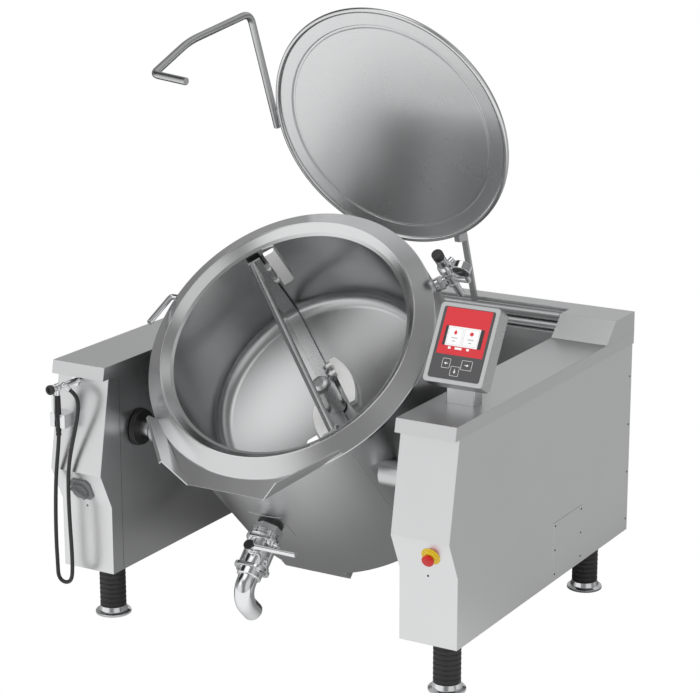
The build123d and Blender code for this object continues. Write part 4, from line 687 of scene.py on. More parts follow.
def painted_floor_tone(tree):
    """Floor seen in metal, painted as an emission: bright in front, greyer behind, and a painted shadow under
    and behind the machine.
    """
    place = tree.nodes.new("ShaderNodeSeparateXYZ")
    tree.links.new(tree.nodes.new("ShaderNodeTexCoord").outputs["Object"], place.inputs[0])
    x, y, _ = place.outputs
    front = smooth_step(tree, y, *FRONT_BAND, FLOOR_FRONT - FLOOR_BACK)
    plain = math_node(tree, "ADD", front, FLOOR_BACK)
    shade = math_node(tree, "MULTIPLY", smooth_step(tree, x, *RIGHT_BAND), smooth_step(tree, y, *SHADE_BAND))
    lit = math_node(tree, "SUBTRACT", 1.0, shade)
    under = smooth_step(tree, y, *UNDER_BAND, FLOOR_UNDER - FLOOR_SHADE)
    under = math_node(tree, "MULTIPLY", under, smooth_step(tree, x, *LEFT_BAND))
    shaded = math_node(tree, "ADD", math_node(tree, "MULTIPLY", under, shade), FLOOR_SHADE)
    return math_node(tree, "ADD", math_node(tree, "MULTIPLY", plain, lit), shaded)


def make_floor():
    """Pale floor that lights the machine, is mirrored in it as a painted emission tone with a painted shadow
    under and behind the machine, and shows plain white to the camera.
    """
    line = np.linspace(-FLOOR_HALF, FLOOR_HALF, 3)
    u, v = np.meshgrid(line, line, indexing="ij")
    floor = surface("studio_floor", np.stack([u, v, np.full(u.shape, -FLOOR_DROP)], axis=-1))
    material = bpy.data.materials.new("studio_floor")
    material.use_nodes = True
    tree = material.node_tree
    shader = tree.nodes["Principled BSDF"]
    shader.inputs["Base Color"].default_value = FLOOR_GREY
    shader.inputs["Roughness"].default_value = FLOOR_ROUGHNESS
    path = tree.nodes.new("ShaderNodeLightPath")
    glow = tree.nodes.new("ShaderNodeEmission")
    # Emission that glossy rays see in place of the floor: a painted reflection tone with a painted shadow.
    sheen = tree.nodes.new("ShaderNodeEmission")
    tree.links.new(painted_floor_tone(tree), sheen.inputs["Strength"])
    mirrored = mixed(tree, path.outputs["Is Glossy Ray"], shader.outputs[0], sheen.outputs[0])
    shown = mixed(tree, path.outputs["Is Camera Ray"], mirrored, glow.outputs[0])
    tree.links.new(shown, tree.nodes["Material Output"].inputs["Surface"])
    floor.data.materials.append(material)


def soft_lamp(name, place, width, height, power):
    """Rectangular lamp aimed at the middle of the machine, and not seen in metal."""
    lamp = bpy.data.lights.new(name, "AREA")
    lamp.shape = "RECTANGLE"
    lamp.size = width
    lamp.size_y = height
    lamp.energy = power
    holder = bpy.data.objects.new(name, lamp)
    holder.location = place
    holder.rotation_euler = (LAMP_TARGET - Vector(place)).to_track_quat("-Z", "Y").to_euler()
    holder.visible_glossy = False
    bpy.context.scene.collection.objects.link(holder)


def make_camera():
    """Camera on a circle round its target, with a hair of roll."""
    camera = bpy.data.cameras.new("camera")
    camera.lens = LENS
    camera.sensor_width = SENSOR
    camera.clip_end = CAMERA_REACH
    holder = bpy.data.objects.new("camera", camera)
    flat = math.cos(CAMERA_HEIGHT)
    away = Vector(
        (math.sin(CAMERA_AZIMUTH) * flat, -math.cos(CAMERA_AZIMUTH) * flat, math.sin(CAMERA_HEIGHT))
    )
    holder.location = CAMERA_TARGET + away * CAMERA_DISTANCE
    holder.rotation_mode = "QUATERNION"
    holder.rotation_quaternion = (-away).to_track_quat("-Z", "Y") @ Quaternion((0, 0, 1), CAMERA_ROLL)
    bpy.context.scene.collection.objects.link(holder)
    bpy.context.scene.camera = holder


class KETTLE_OT_stage(bpy.types.Operator):
    """Set the camera, the lamps, the floor and the view's colour transform"""

    bl_idname = "kettle.stage"
    bl_label = "Stage"

    def execute(self, context):
        context.scene.view_settings.view_transform = "Standard"
        make_camera()
        make_world()
        make_floor()
        soft_lamp("top_lamp", (-0.6, -0.6, 4.2), 2.6, 2.6, 62)
        soft_lamp("left_lamp", (-3.4, -2.6, 2.4), 1.6, 2.4, 42)
        soft_lamp("right_lamp", (3.9, -0.9, 2.6), 1.4, 2.2, 30)
        return {"FINISHED"}


# ---------------------------------------------------------------- spray hose
HOSE_Y = FRONT_Y - 0.050
OUTLET = np.array((-0.657, HOSE_Y, 0.838))
NUT_LENGTH = 0.028
NUT_RUN = np.array((27.0, 0.0, -16.0)) / math.hypot(27.0, 16.0)
OUTLET_END = OUTLET + NUT_RUN * NUT_LENGTH
GUN_X = -0.686
GUN_FOOT = 0.684
GUN_TOP = 0.800
GRIP_RADIUS = 0.0105
GRIP_RIBS = 8
GRIP_RIB = 0.0011
GRIP_SWELL = 0.0009
HEAD_RISE = 0.026
FERRULE = 0.020
LOOP_X = -0.681
LOOP_RADIUS = 0.028
LOOP_Z = 0.190
LOOP_STEP = LOOP_RADIUS * math.tan(math.radians(22.5))
HOSE_ROUTE = [
    (-0.612, 0.812), (-0.603, 0.786), (-0.606, 0.748), (-0.618, 0.700), (-0.634, 0.640),
    (-0.650, 0.570), (-0.6555, 0.490), (-0.654, 0.380), (-0.6495, 0.285), (-0.649, 0.222),
    (LOOP_X + LOOP_RADIUS, LOOP_Z - LOOP_STEP), (LOOP_X + LOOP_STEP, LOOP_Z - LOOP_RADIUS),
    (LOOP_X - LOOP_STEP, LOOP_Z - LOOP_RADIUS), (LOOP_X - LOOP_RADIUS, LOOP_Z - LOOP_STEP),
    (-0.7095, 0.222), (-0.712, 0.300), (-0.710, 0.410), (-0.704, 0.515), (-0.696, 0.580), (-0.689, 0.630),
]


class KETTLE_OT_spray_hose(bpy.types.Operator):
    """Hang the rubber hose in its loop between the outlet and the spray gun"""

    bl_idname = "kettle.spray_hose"
    bl_label = "Spray hose"

    def execute(self, context):
        sizes = context.scene.kettle_sizes
        points = [tuple(OUTLET_END)]
        points += [(x, HOSE_Y, z) for x, z in HOSE_ROUTE]
        points.append((GUN_X, HOSE_Y, GUN_FOOT - FERRULE))
        curve = bpy.data.curves.new("spray_hose_line", "CURVE")
        curve.dimensions = "3D"
        curve.bevel_depth = sizes.hose_radius
        curve.bevel_resolution = 6
        curve.resolution_u = 16
        curve.use_fill_caps = True
        spline = curve.splines.new("NURBS")
        spline.points.add(len(points) - 1)
        for control, point in zip(spline.points, points):
            control.co = (*point, 1.0)
        spline.order_u = 3
        spline.use_endpoint_u = True
        hose = bpy.data.objects.new("spray_hose_line", curve)
        context.scene.collection.objects.link(hose)
        dress(hose, "spray_hose")
        return {"FINISHED"}


class KETTLE_OT_spray_gun(bpy.types.Operator):
    """Build the spray gun with its ribbed grip, head, nozzle and trigger, its holder and the outlet"""

    bl_idname = "kettle.spray_gun"
    bl_label = "Spray gun"

    def execute(self, context):
        upright = move(GUN_X, HOSE_Y, 0)
        low, high = GUN_FOOT, GUN_TOP
        t = np.linspace(0, 1, 90)
        ribbed = GRIP_RIB * np.abs(np.sin(np.pi * GRIP_RIBS * t)) * (t < 0.5)
        radius = GRIP_RADIUS - GRIP_SWELL + GRIP_SWELL * np.sin(np.pi * t) - ribbed * 0.9
        side = np.column_stack([radius, low + 0.001 + t * (high - low - 0.002)])
        profile = np.vstack([(0, low), (radius[0] - 0.001, low), side, (radius[-1] - 0.001, high), (0, high)])
        dress(turned("gun_grip_finished", profile, upright, 48), "gun_grip")
        head_z = high + HEAD_RISE
        ahead = move(GUN_X, HOSE_Y, head_z) @ turn("x", 90)
        nozzle = [(0, 0.028), (0.013, 0.028), (0.016, 0.032), (0.016, 0.040), (0.009, 0.040), (0.007, 0.035),
                  (0, 0.035)]
        turned_part("gun_grip", "gun_nozzle", nozzle, 0.0008, ahead)
        barrel = [(0, -0.014), (0.010, -0.014), (0.013, -0.010), (0.013, 0.004), (0.0115, 0.006),
                  (0.0115, 0.012), (0.013, 0.014), (0.013, 0.028), (0, 0.028)]
        turned_part("gun_head", "gun_head_finished", barrel, 0.0008, ahead)
        neck = [(0, high), (0.0085, high), (0.0085, high + 0.014), (0.0095, high + 0.016), (0.0095, head_z),
                (0, head_z)]
        turned_part("gun_head", "gun_neck", neck, 0.0006, upright, 40)
        ferrule = [(0.0060, -FERRULE), (0.0078, -FERRULE), (0.0090, -0.017), (0.0090, -0.012),
                   (0.0080, -0.011), (0.0080, -0.008), (0.0090, -0.007), (0.0090, 0), (0.0060, 0)]
        turned_part("gun_head", "gun_ferrule", ferrule, 0.0004, upright @ move(0, 0, low), 40, True,
                    "black_rubber")
        softened("gun_trigger", 0.0006)
        softened("gun_holder", 0.0008)
        softened("hose_outlet", 0.0006)
        return {"FINISHED"}


# ---------------------------------------------------------------- columns, bridge and feet
# Y behind the columns' front, and Z.
PANEL_EDGES = ((0.681, 0.901), (0.205, 0.394))
PANEL_MARGIN = 0.012
PANEL_LIFT = 0.0015
HOUSING_SCREW_Y = 1.258
HOUSING_SCREW_Z = (0.235, 0.405, 0.575, 0.745)
COLUMN_SEAM_Y = 0.078
COLUMN_SEAM_Z = (0.196, 0.842)
HOLE_X = 0.634
HOLE_Y = 0.021
HOLE_Z = 0.414
HOLE_RADIUS = 0.0036
SEAM_WIDTH = 0.0012
SHEET_NODES = ("column_shell_right", "column_shell_left", "rear_bridge")
CAP_NODES = ("column_cap_right", "column_cap_left", "service_panel", "column_bases")
CAP_EDGE = 0.0004


def screw(name, place, radius, node):
    """Button-head screw on a surface whose outside is the placed Z: a dome with a sunk drive."""
    height = radius * 0.45
    t = np.linspace(0, 1, 7)
    dome = np.column_stack([radius * np.cos(t * np.pi / 2 * 0.72), height * np.sin(t * np.pi / 2)])
    drive = [(radius * 0.32, height), (radius * 0.28, height * 0.35), (0, height * 0.35)]
    profile = np.vstack([(0, 0), (radius, 0), dome, drive])
    # The screw takes the dark seam_shadow finish: painted shade in place of its steel.
    return dress(turned(name, profile, place, 20), node, replace=False, slot="seam_shadow")


def strip(name, start, end, normal, node):
    """Narrow dark line from one point to another, its thickness along the surface's outside."""
    start, end, normal = (np.asarray(value, float) for value in (start, end, normal))
    along = (end - start) / np.linalg.norm(end - start)
    matrix = np.eye(4)
    matrix[:3, 0], matrix[:3, 1], matrix[:3, 2] = along, np.cross(normal, along), normal
    matrix[:3, 3] = (start + end) / 2
    outline = rectangle(np.linalg.norm(end - start), SEAM_WIDTH, SEAM_WIDTH * 0.2, steps=2)
    line = plate(name, outline, 0, LIFT, matrix, edge=LIFT * 0.3)
    return dress(line, node, replace=False, slot="seam_shadow")


class KETTLE_OT_columns(bpy.types.Operator):
    """Round the edges of the columns, their caps with the hoods and the rear bridge, and add screws, hole
    marks of painted shade and a seam
    """

    bl_idname = "kettle.columns"
    bl_label = "Columns and bridge"

    def execute(self, context):
        sizes = context.scene.kettle_sizes
        for node in SHEET_NODES:
            softened(node, sizes.sheet_edge)
        for node in CAP_NODES:
            softened(node, CAP_EDGE)
        head = sizes.screw_radius * 0.8
        panel = move(OUTER_X + PANEL_LIFT, 0, 0) @ turn("y", 90)
        (near, far), (low, high) = PANEL_EDGES
        for end, y in (("front", near + PANEL_MARGIN), ("rear", far - PANEL_MARGIN)):
            for row, z in enumerate((low + PANEL_MARGIN, (low + high) / 2, high - PANEL_MARGIN)):
                screw(f"panel_screw_{end}_{row + 1}", panel @ move(-z, FRONT_Y + y, 0), head, "service_panel")
        for side, label in ((1, "right"), (-1, "left")):
            shell = f"column_shell_{label}"
            face = move(side * OUTER_X, 0, 0) @ turn("y", 90 * side)
            for index, z in enumerate(HOUSING_SCREW_Z):
                place = face @ move(-side * z, FRONT_Y + HOUSING_SCREW_Y, 0)
                screw(f"housing_screw_{label}_{index + 1}", place, head, shell)
            # Each hole is a thin dark disc on the sheet: painted shade where the hole is.
            hole = move(side * HOLE_X, FRONT_Y + HOLE_Y, HOLE_Z) @ turn("x", 90)
            mark = plate(f"front_hole_{label}", circle(HOLE_RADIUS), 0, LIFT, hole, LIFT / 4)
            dress(mark, shell, replace=False, slot="seam_shadow")
        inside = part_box("column_shell_left")[1].x
        ends = [(inside, FRONT_Y + COLUMN_SEAM_Y, z) for z in COLUMN_SEAM_Z]
        strip("column_seam", *ends, (1, 0, 0), "column_shell_left")
        return {"FINISHED"}


FOOT_Y = (("front", 0.147), ("rear", 1.152))
SLEEVE_BASE = 0.028
COLLAR_HEIGHT = 0.014
RIBS = 9
RIB_DEPTH = 0.0020
RIB_SHAPE = 0.45


class KETTLE_OT_feet(bpy.types.Operator):
    """Turn the feet: round base, ribbed black sleeve and bright collar"""

    bl_idname = "kettle.feet"
    bl_label = "Feet"

    def execute(self, context):
        sizes = context.scene.kettle_sizes
        base, top = SLEEVE_BASE, sizes.foot_height - COLLAR_HEIGHT
        sleeve, foot = sizes.sleeve_radius, sizes.base_radius
        t = np.linspace(0, 1, RIBS * 10 + 1)
        ribs = sleeve - RIB_DEPTH * (1 - np.abs(np.sin(np.pi * RIBS * t)) ** RIB_SHAPE)
        side = np.column_stack([ribs, base + 0.0005 + t * (top - base - 0.001)])
        sleeve_outline = np.vstack([(sleeve - 0.006, base), side, (sleeve - 0.006, top)])
        base_outline = rounded(
            [(0, 0), (foot, 0), (foot, 0.0075), (sleeve + 0.004, 0.012), (sleeve, base), (0, base)],
            [0, 0.0010, 0.0022, 0.004, 0.0012, 0], closed=False,
        )
        collar_outline = rounded(
            [(0.019, top), (sleeve, top), (sleeve + 0.0035, top + 0.0105),
             (sleeve + 0.0035, sizes.foot_height), (0.019, sizes.foot_height)], 0.0009,
        )
        for x, side_name in ((MID_X, "right"), (-MID_X, "left")):
            for end_name, y in FOOT_Y:
                place = move(x, FRONT_Y + y, 0)
                label = f"{end_name}_{side_name}"
                dress(turned(f"foot_sleeve_{label}", sleeve_outline, place), "foot_sleeves")
                dress(turned(f"foot_base_{label}", base_outline, place), "foot_bases")
                dress(turned(f"foot_collar_{label}", collar_outline, place), "foot_bases")
        return {"FINISHED"}


# ---------------------------------------------------------------- kettle
BOWL_RADIUS = 0.3977
BOWL_DEPTH = 0.450
KNUCKLE = 0.060
KNUCKLE_DROP = 0.345
SEAT_DROP = 0.031
RIM_RADIUS = 0.432
COLLAR_RADIUS = 0.489
COLLAR_DROP = 0.035
COLLAR_HEM = 0.012
CASING_RADIUS = 0.488
CASING_DROP = 0.697
CASING_WALL = 0.002
BOWL_SHEET = 0.003
STEP = 0.005
ROUND_SIDES = 192
PLATE_HALF = 0.061
PLATE_LOW, PLATE_HIGH = -0.4245, -0.2995
PLATE_THICK = 0.0012
WELD_ANGLE = math.radians(46.8)
WELD_RADIUS = 0.0012
HANDLE_Y = 0.103
HANDLE_Z = -0.043
HANDLE_RUN = 0.131
HANDLE_RISE = 0.048
HANDLE_OUT = 0.0135
HANDLE_RADIUS = 0.0095


def dish_profile(radius, knuckle, depth, knuckle_drop, steps=28):
    """Wall, knuckle and dished floor: the floor's large arc and the knuckle's small arc touch, and
    their centres are as far apart as the difference of their radii."""
    arm, drop = radius - knuckle, depth - knuckle_drop
    crown = (arm**2 + drop**2 - knuckle**2) / (2 * (drop - knuckle))
    lean = math.atan2(arm, crown - depth + knuckle_drop)
    floor_angle = np.linspace(0, lean, steps)
    knuckle_angle = np.linspace(lean, math.pi / 2, steps)[1:]
    floor = np.column_stack([crown * np.sin(floor_angle), crown - depth - crown * np.cos(floor_angle)])
    corner = np.column_stack([arm + knuckle * np.sin(knuckle_angle),
                              -knuckle_drop - knuckle * np.cos(knuckle_angle)])
    return np.vstack([floor, corner])


class KETTLE_OT_kettle_body(bpy.types.Operator):
    """Spin the bowl, its rim collar and the casing, and finish the pour lip and the arms"""

    bl_idname = "kettle.kettle_body"
    bl_label = "Kettle body"

    def execute(self, context):
        inside = dish_profile(BOWL_RADIUS, KNUCKLE, BOWL_DEPTH, KNUCKLE_DROP)
        outer = BOWL_RADIUS + BOWL_SHEET
        outside = dish_profile(outer, KNUCKLE + BOWL_SHEET, BOWL_DEPTH + BOWL_SHEET, KNUCKLE_DROP)
        shell = np.vstack([inside, (BOWL_RADIUS, -SEAT_DROP), (outer, -SEAT_DROP), outside[::-1]])
        dress(turned("bowl_finished", shell, KETTLE, ROUND_SIDES), "bowl")
        self.add_collar()
        self.add_casing()
        softened("pour_lip", 0.0009)
        softened("motor_cover", 0.0010)
        self.add_arms()
        self.add_seals()
        self.add_handle()
        return {"FINISHED"}

    def add_collar(self):
        """Rim collar: seat, cone, ridge and sloped outside with its hem."""
        step, seat = STEP, BOWL_RADIUS + 2 * STEP
        collar = [
            (BOWL_RADIUS + 0.0002, -SEAT_DROP), (seat, step - SEAT_DROP), (RIM_RADIUS - step, -step),
            (RIM_RADIUS, 0), (RIM_RADIUS + step / 2, -step / 2), (COLLAR_RADIUS, -COLLAR_DROP),
            (COLLAR_RADIUS, -COLLAR_DROP - COLLAR_HEM), (COLLAR_RADIUS - 0.003, -COLLAR_DROP - COLLAR_HEM),
            (COLLAR_RADIUS - 0.003, -COLLAR_DROP - 0.0015), (RIM_RADIUS, -2 * step),
            (RIM_RADIUS - step, -3 * step), (seat, -SEAT_DROP - 0.003),
            (BOWL_RADIUS + 0.0002, -SEAT_DROP - 0.006),
        ]
        radii = [0.0005, 0.002, 0.0015, 0.002, 0.003, 0.005, 0.001, 0.001, 0.003, 0.004, 0.004, 0.004, 0.001]
        dress(turned("rim_collar_finished", rounded(collar, radii, 5), KETTLE, ROUND_SIDES), "rim_collar")

    def add_casing(self):
        """Outer casing, with the drain's plate on it and the weld line down it."""
        top, floor = -COLLAR_DROP - COLLAR_HEM, CASING_WALL - CASING_DROP
        shell = [
            (CASING_RADIUS, -CASING_DROP), (CASING_RADIUS, top), (CASING_RADIUS - CASING_WALL, top),
            (CASING_RADIUS - CASING_WALL, floor), (0.15, floor), (0.15, -CASING_DROP),
        ]
        turned_part("casing", "casing_finished", shell, [0.006, 0, 0, 0.004, 0, 0], KETTLE, ROUND_SIDES, True)
        half, low, high = PLATE_HALF, PLATE_LOW, PLATE_HIGH
        angle = np.linspace(-half / CASING_RADIUS, half / CASING_RADIUS, 25)[:, None]
        rows = np.array([0, 0, 1, 1, 0])
        radius = CASING_RADIUS + np.array([0, PLATE_THICK, PLATE_THICK, 0, 0])
        height = low + rows * (high - low)
        grid = np.stack([radius * np.sin(angle), -radius * np.cos(angle), height + 0 * angle], axis=-1)
        ends = [np.broadcast_to(grid[i].mean(0), grid[i].shape)[None] for i in (0, -1)]
        shell = surface("drain_plate", np.concatenate([ends[0], grid, ends[1]]), KETTLE)
        dress(shell, "casing", slot="casing_steel")
        x, y = CASING_RADIUS * math.sin(WELD_ANGLE), -CASING_RADIUS * math.cos(WELD_ANGLE)
        path = np.array([(KETTLE @ (x, y, z, 1))[:3] for z in (-0.055, -0.690)])
        weld = tube("casing_seam_down", path, WELD_RADIUS)
        dress(weld, "casing", replace=False, slot="polished_steel")

    def add_handle(self):
        """Grab handle: a round bar out of the collar's left side, bent forwards and up."""
        root = 0.003 - math.sqrt(COLLAR_RADIUS**2 - HANDLE_Y**2)
        out = -COLLAR_RADIUS - HANDLE_OUT
        points = [(root, HANDLE_Y, HANDLE_Z), (out, HANDLE_Y, HANDLE_Z),
                  (out, HANDLE_Y - HANDLE_RUN, HANDLE_Z + HANDLE_RISE)]
        dress(tube("grab_handle_finished", bent(points, 0.0115), HANDLE_RADIUS, KETTLE), "grab_handle")

    def add_arms(self):
        """Short trunnion shafts, each with a round boss on the casing."""
        for side, label in ((1, "right"), (-1, "left")):
            place = TRUNNION @ turn("x", REST_TILT) @ turn("y", 90 * side)
            shaft = [(0, 0.385), (0.028, 0.385), (0.028, 0.627), (0.0265, 0.6285), (0, 0.6285)]
            dress(turned(f"trunnion_shaft_{label}", shaft, place, 64), "trunnions")
            boss = [(0.0282, 0.3905), (0.044, 0.3905), (0.044, 0.468), (0.041, 0.474), (0.0282, 0.474)]
            turned_part("trunnions", f"trunnion_boss_{label}", boss, 0.0015, place, 64, True)

    def add_seals(self):
        """Black rubber rings where the trunnion shafts enter the columns."""
        for side, label in ((1, "right"), (-1, "left")):
            place = TRUNNION @ move(side * INNER_X, 0, 0) @ turn("y", -90 * side)
            lips = [
                (0.0285, 0.0), (0.062, 0.0), (0.062, 0.0045), (0.0585, 0.0060), (0.0585, 0.0075),
                (0.0575, 0.0085), (0.058, 0.0100), (0.058, 0.0165), (0.052, 0.0170), (0.0285, 0.0170),
            ]
            turned_part("trunnion_seals", f"trunnion_seal_{label}", lips, 0.0009, place, 96, True)


BLADE_GAP = 0.013
BAR_DROP = 0.060
BAR_RADIUS = 0.012
BAR_SHORT = 0.008


class KETTLE_OT_stirrer(bpy.types.Operator):
    """Finish the stirrer's frame, top tube and hub, and its white scrapers"""

    bl_idname = "kettle.stirrer"
    bl_label = "Stirrer"

    def execute(self, context):
        softened("stirrer_frame", 0.0012)
        half = BOWL_RADIUS - BLADE_GAP - BAR_SHORT
        path = np.column_stack([np.linspace(-half, half, 5), np.zeros(5), np.full(5, -BAR_DROP)])
        dress(tube("stirrer_top_bar_finished", path, BAR_RADIUS, STIRRER), "stirrer_top_bar")
        hub = [(0, -0.4435), (0.035, -0.4435), (0.035, -0.3075), (0.028, -0.2944), (0.0158, -0.290),
               (0, -0.290)]
        hub = rounded(hub, [0, 0.002, 0.010, 0.008, 0.006, 0], 6, closed=False)
        dress(turned("stirrer_hub_finished", hub, STIRRER), "stirrer_hub")
        for node in ("wall_scraper_a", "wall_scraper_b", "floor_scraper_a", "floor_scraper_b"):
            softened(node, 0.0014)
        return {"FINISHED"}


# ---------------------------------------------------------------- lid
LID_RADIUS = 0.436
LID_ROLL = 0.009
LID_DISC = 0.362
LID_CROWN = 0.044
LID_SHEET = 0.0018
LINING_SHEET = 0.002
GROOVE_WIDTH = 0.013
GROOVE_SLOPE = 0.003
GROOVE_DEPTH = 0.006
LID_HANDLE_RADIUS = 0.0125
# direction that the first side of each section is square to
LID_HANDLE_SECTION = (0.93, 0.27, 0.25)


class KETTLE_OT_lid(bpy.types.Operator):
    """Spin the lid's lining, rolled rim and dome, and bend its long handle"""

    bl_idname = "kettle.lid"
    bl_label = "Lid"

    def execute(self, context):
        angle = np.linspace(0, 2 * np.pi, 25)[:-1]
        roll = np.column_stack([LID_RADIUS - LID_ROLL + LID_ROLL * np.cos(angle), LID_ROLL * np.sin(angle)])
        dress(turned("lid_rim_finished", roll, LID, ROUND_SIDES), "lid_rim")
        edge = LID_RADIUS - 2 * LID_ROLL
        level = LID_ROLL / 4
        groove = np.array([(0, 0), (GROOVE_SLOPE, GROOVE_DEPTH), (GROOVE_WIDTH - GROOVE_SLOPE, GROOVE_DEPTH),
                           (GROOVE_WIDTH, 0)])
        groove = groove + (LID_DISC, level)
        under = groove - (0, LINING_SHEET)
        rim = edge + LID_SHEET
        inner = np.vstack([(0, under[0, 1]), under, (rim, under[0, 1]), (rim, level), groove[::-1],
                           (0, level)])
        turned_part("lid_lining", "lid_lining_finished", inner, 0.0018, LID, ROUND_SIDES, slot="lid_steel")
        rise = LID_CROWN - LID_ROLL / 2
        crown = (edge**2 + rise**2) / (2 * rise)
        radius = np.linspace(0, edge, 30)
        dome = np.column_stack([radius, LID_CROWN - crown + np.sqrt(crown**2 - radius**2)])
        skin = np.vstack([dome, dome[::-1] - (0, LID_SHEET)])
        dress(turned("lid_skin_finished", skin, LID, ROUND_SIDES), "lid_skin", slot="lid_steel")
        softened("lid_hinge", 0.0012)
        softened("lid_bearings", 0.0010)
        points = [(-0.455, 0.045, 0.008), (-0.461, -0.390, -0.005), (-0.506, -0.427, -0.302),
                  (-0.494, -0.427, -0.535), (-0.350, -0.427, -0.563)]
        path = bent(points, [0, 0.045, 0.400, 0.032, 0], 12)
        bar = tube("lid_handle_finished", path, LID_HANDLE_RADIUS, LID, edge=0.001, normal=LID_HANDLE_SECTION)
        dress(bar, "lid_handle")
        plate_outline = rectangle(0.0247, 0.060, 0.003, (-0.4397, 0.005))
        dress(plate("lid_handle_plate", plate_outline, 0.004, 0.012, LID, 0.001), "lid_handle")
        return {"FINISHED"}


# ---------------------------------------------------------------- drain valve
SEAL_LENGTH = 0.014
RING_END = 0.042
VALVE_LENGTH = 0.112
FLANGE_THICK = 0.012
BARREL_REACH = 0.042
STEM_HEIGHT = 0.056
ROD_HEIGHT = 0.0623
UNION_LENGTH = 0.024
ELBOW_RADIUS = 0.032
ELBOW_BORE = 0.0295
ELBOW_BEND = 0.058
ELBOW_STRAIGHT = 0.012
ELBOW_TAIL = 0.046


class KETTLE_OT_drain(bpy.types.Operator):
    """Build the drain: seal, hexagon and round collars, ball valve, lever and outlet bend"""

    bl_idname = "kettle.drain"
    bl_label = "Drain valve"

    def execute(self, context):
        seal = [(0.030, -0.004), (0.042, -0.004), (0.042, 0.010), (0.039, SEAL_LENGTH), (0.030, SEAL_LENGTH)]
        turned_part("drain_seal", "drain_seal_finished", seal, 0.002, DRAIN @ move(0, 0, CASING_RADIUS), 96,
                    True)
        nut = CASING_RADIUS + SEAL_LENGTH
        place = DRAIN @ move(0, 0, nut)
        dress(hex_bar("drain_nut", 0.084, 0, 0.022, place), "drain_pipe")
        ring = [(0, 0.022), (0.048, 0.022), (0.050, 0.024), (0.050, 0.030), (0.0485, 0.0305),
                (0.0485, 0.0325), (0.050, 0.033), (0.050, 0.040), (0.048, RING_END), (0, RING_END)]
        turned_part("drain_pipe", "drain_ring", ring, 0.0006, place, 96)
        pipe = [(0.0250, 0.390 - nut), (0.030, 0.395 - nut), (0.030, 0.002), (0.0250, 0.002)]
        dress(turned("drain_pipe_finished", pipe, place, 64), "drain_pipe")
        self.add_valve(DRAIN @ move(0, 0, nut + RING_END))
        union = nut + RING_END + VALVE_LENGTH
        outline = [(0.025, 0), (0.038, 0), (0.040, 0.002), (0.040, 0.022), (0.038, UNION_LENGTH),
                   (0.025, UNION_LENGTH)]
        turned_part("drain_elbow", "outlet_nut_ring", outline, 0.0008, DRAIN @ move(0, 0, union), 64, True)
        self.add_elbow(union + UNION_LENGTH)
        return {"FINISHED"}

    def add_valve(self, valve):
        """Round body between two slotted flanges, tied by two barrels with nuts."""
        across, height = 0.058, BARREL_REACH
        angle = np.linspace(-math.pi / 2, math.pi / 2, 17)
        lobe = across - height * 0.72
        right = np.column_stack([lobe + height * 0.72 * np.cos(angle), height * np.sin(angle)])
        outline = np.vstack([right, -right])
        for index, low in enumerate((0, VALVE_LENGTH - FLANGE_THICK)):
            flange = plate(f"valve_flange_{index + 1}", outline, low, low + FLANGE_THICK, valve, 0.0012)
            dress(flange, "drain_valve")
        t = np.linspace(0, 1, 41)
        ball = np.column_stack([0.036 + 0.004 * np.sin(np.pi * t) ** 0.6, 0.006 + 0.100 * t])
        dress(turned("valve_body", np.vstack([(0, 0.006), ball, (0, 0.106)]), valve), "drain_valve")
        band = [(0.0385, 0.049), (0.0405, 0.050), (0.0405, 0.062), (0.0385, 0.063), (0.030, 0.063),
                (0.030, 0.049)]
        turned_part("drain_valve", "valve_band", band, 0.0006, valve, 96, True)
        for side, label in ((1, "right"), (-1, "left")):
            barrel = [(0, 0), (0.0135, 0), (0.016, 0.003), (0.016, 0.016), (0.0125, 0.019), (0.0125, 0.093),
                      (0.016, 0.096), (0.016, 0.109), (0.0135, VALVE_LENGTH), (0, VALVE_LENGTH)]
            place = valve @ move(side * BARREL_REACH, 0, 0)
            turned_part("drain_valve", f"valve_barrel_{label}", barrel, 0.0015, place)
            nut = hex_bar(f"valve_nut_{label}", 0.019, VALVE_LENGTH, VALVE_LENGTH + 0.007, place)
            dress(nut, "drain_valve", slot="satin_steel")
        stem = valve @ move(0, 0, STEM_HEIGHT) @ turn("x", -90)
        boss = [(0, 0.030), (0.0170, 0.030), (0.0170, 0.040), (0.0145, 0.042), (0.0145, 0.0535), (0, 0.0535)]
        turned_part("drain_valve", "valve_boss", boss, 0.0008, stem)
        lever = [(0, 0.0543), (0.0165, 0.0543), (0.0170, 0.0550), (0.0170, 0.0695), (0.0165, 0.0702),
                 (0, 0.0702)]
        dress(turned("lever_hub", lever, stem, 48), "drain_lever")
        rod = np.array([(x, 0, ROD_HEIGHT) for x in (0.010, 0.060, 0.120, 0.168)])
        dress(tube("lever_rod", rod, 0.0080, stem, edge=0.0015), "drain_lever")
        cap = [(0, 0.0703), (0.017, 0.0703), (0.017, 0.0763), (0, 0.0763)]
        turned_part("lever_cap", "lever_cap_finished", cap, 0.002, stem)

    def add_elbow(self, start):
        """Outlet bend: a pipe along a quarter circle between two straight ends, with a rolled mouth."""
        corner = start + ELBOW_STRAIGHT
        end = -ELBOW_BEND - ELBOW_TAIL
        angle = np.linspace(0, math.pi / 2, 25)
        arc = np.column_stack([0 * angle, -ELBOW_BEND * (1 - np.cos(angle)),
                               corner + ELBOW_BEND * np.sin(angle)])
        level = corner + ELBOW_BEND
        path = np.vstack([
            (0, 0, start), (0, 0, start + ELBOW_STRAIGHT * 0.5), arc,
            (0, -ELBOW_BEND - ELBOW_TAIL * 0.5, level), (0, end, level),
        ])
        dress(tube("outlet_bend", path, ELBOW_RADIUS, DRAIN, sides=64, bore=ELBOW_BORE), "drain_elbow")
        mouth = DRAIN @ move(0, end, level) @ turn("x", -90)
        bead = [(0.0290, -0.0005), (ELBOW_RADIUS, -0.0005), (ELBOW_RADIUS, 0.0030), (0.0290, 0.0030)]
        turned_part("drain_elbow", "outlet_bead", bead, 0.0012, mouth, 64, True)


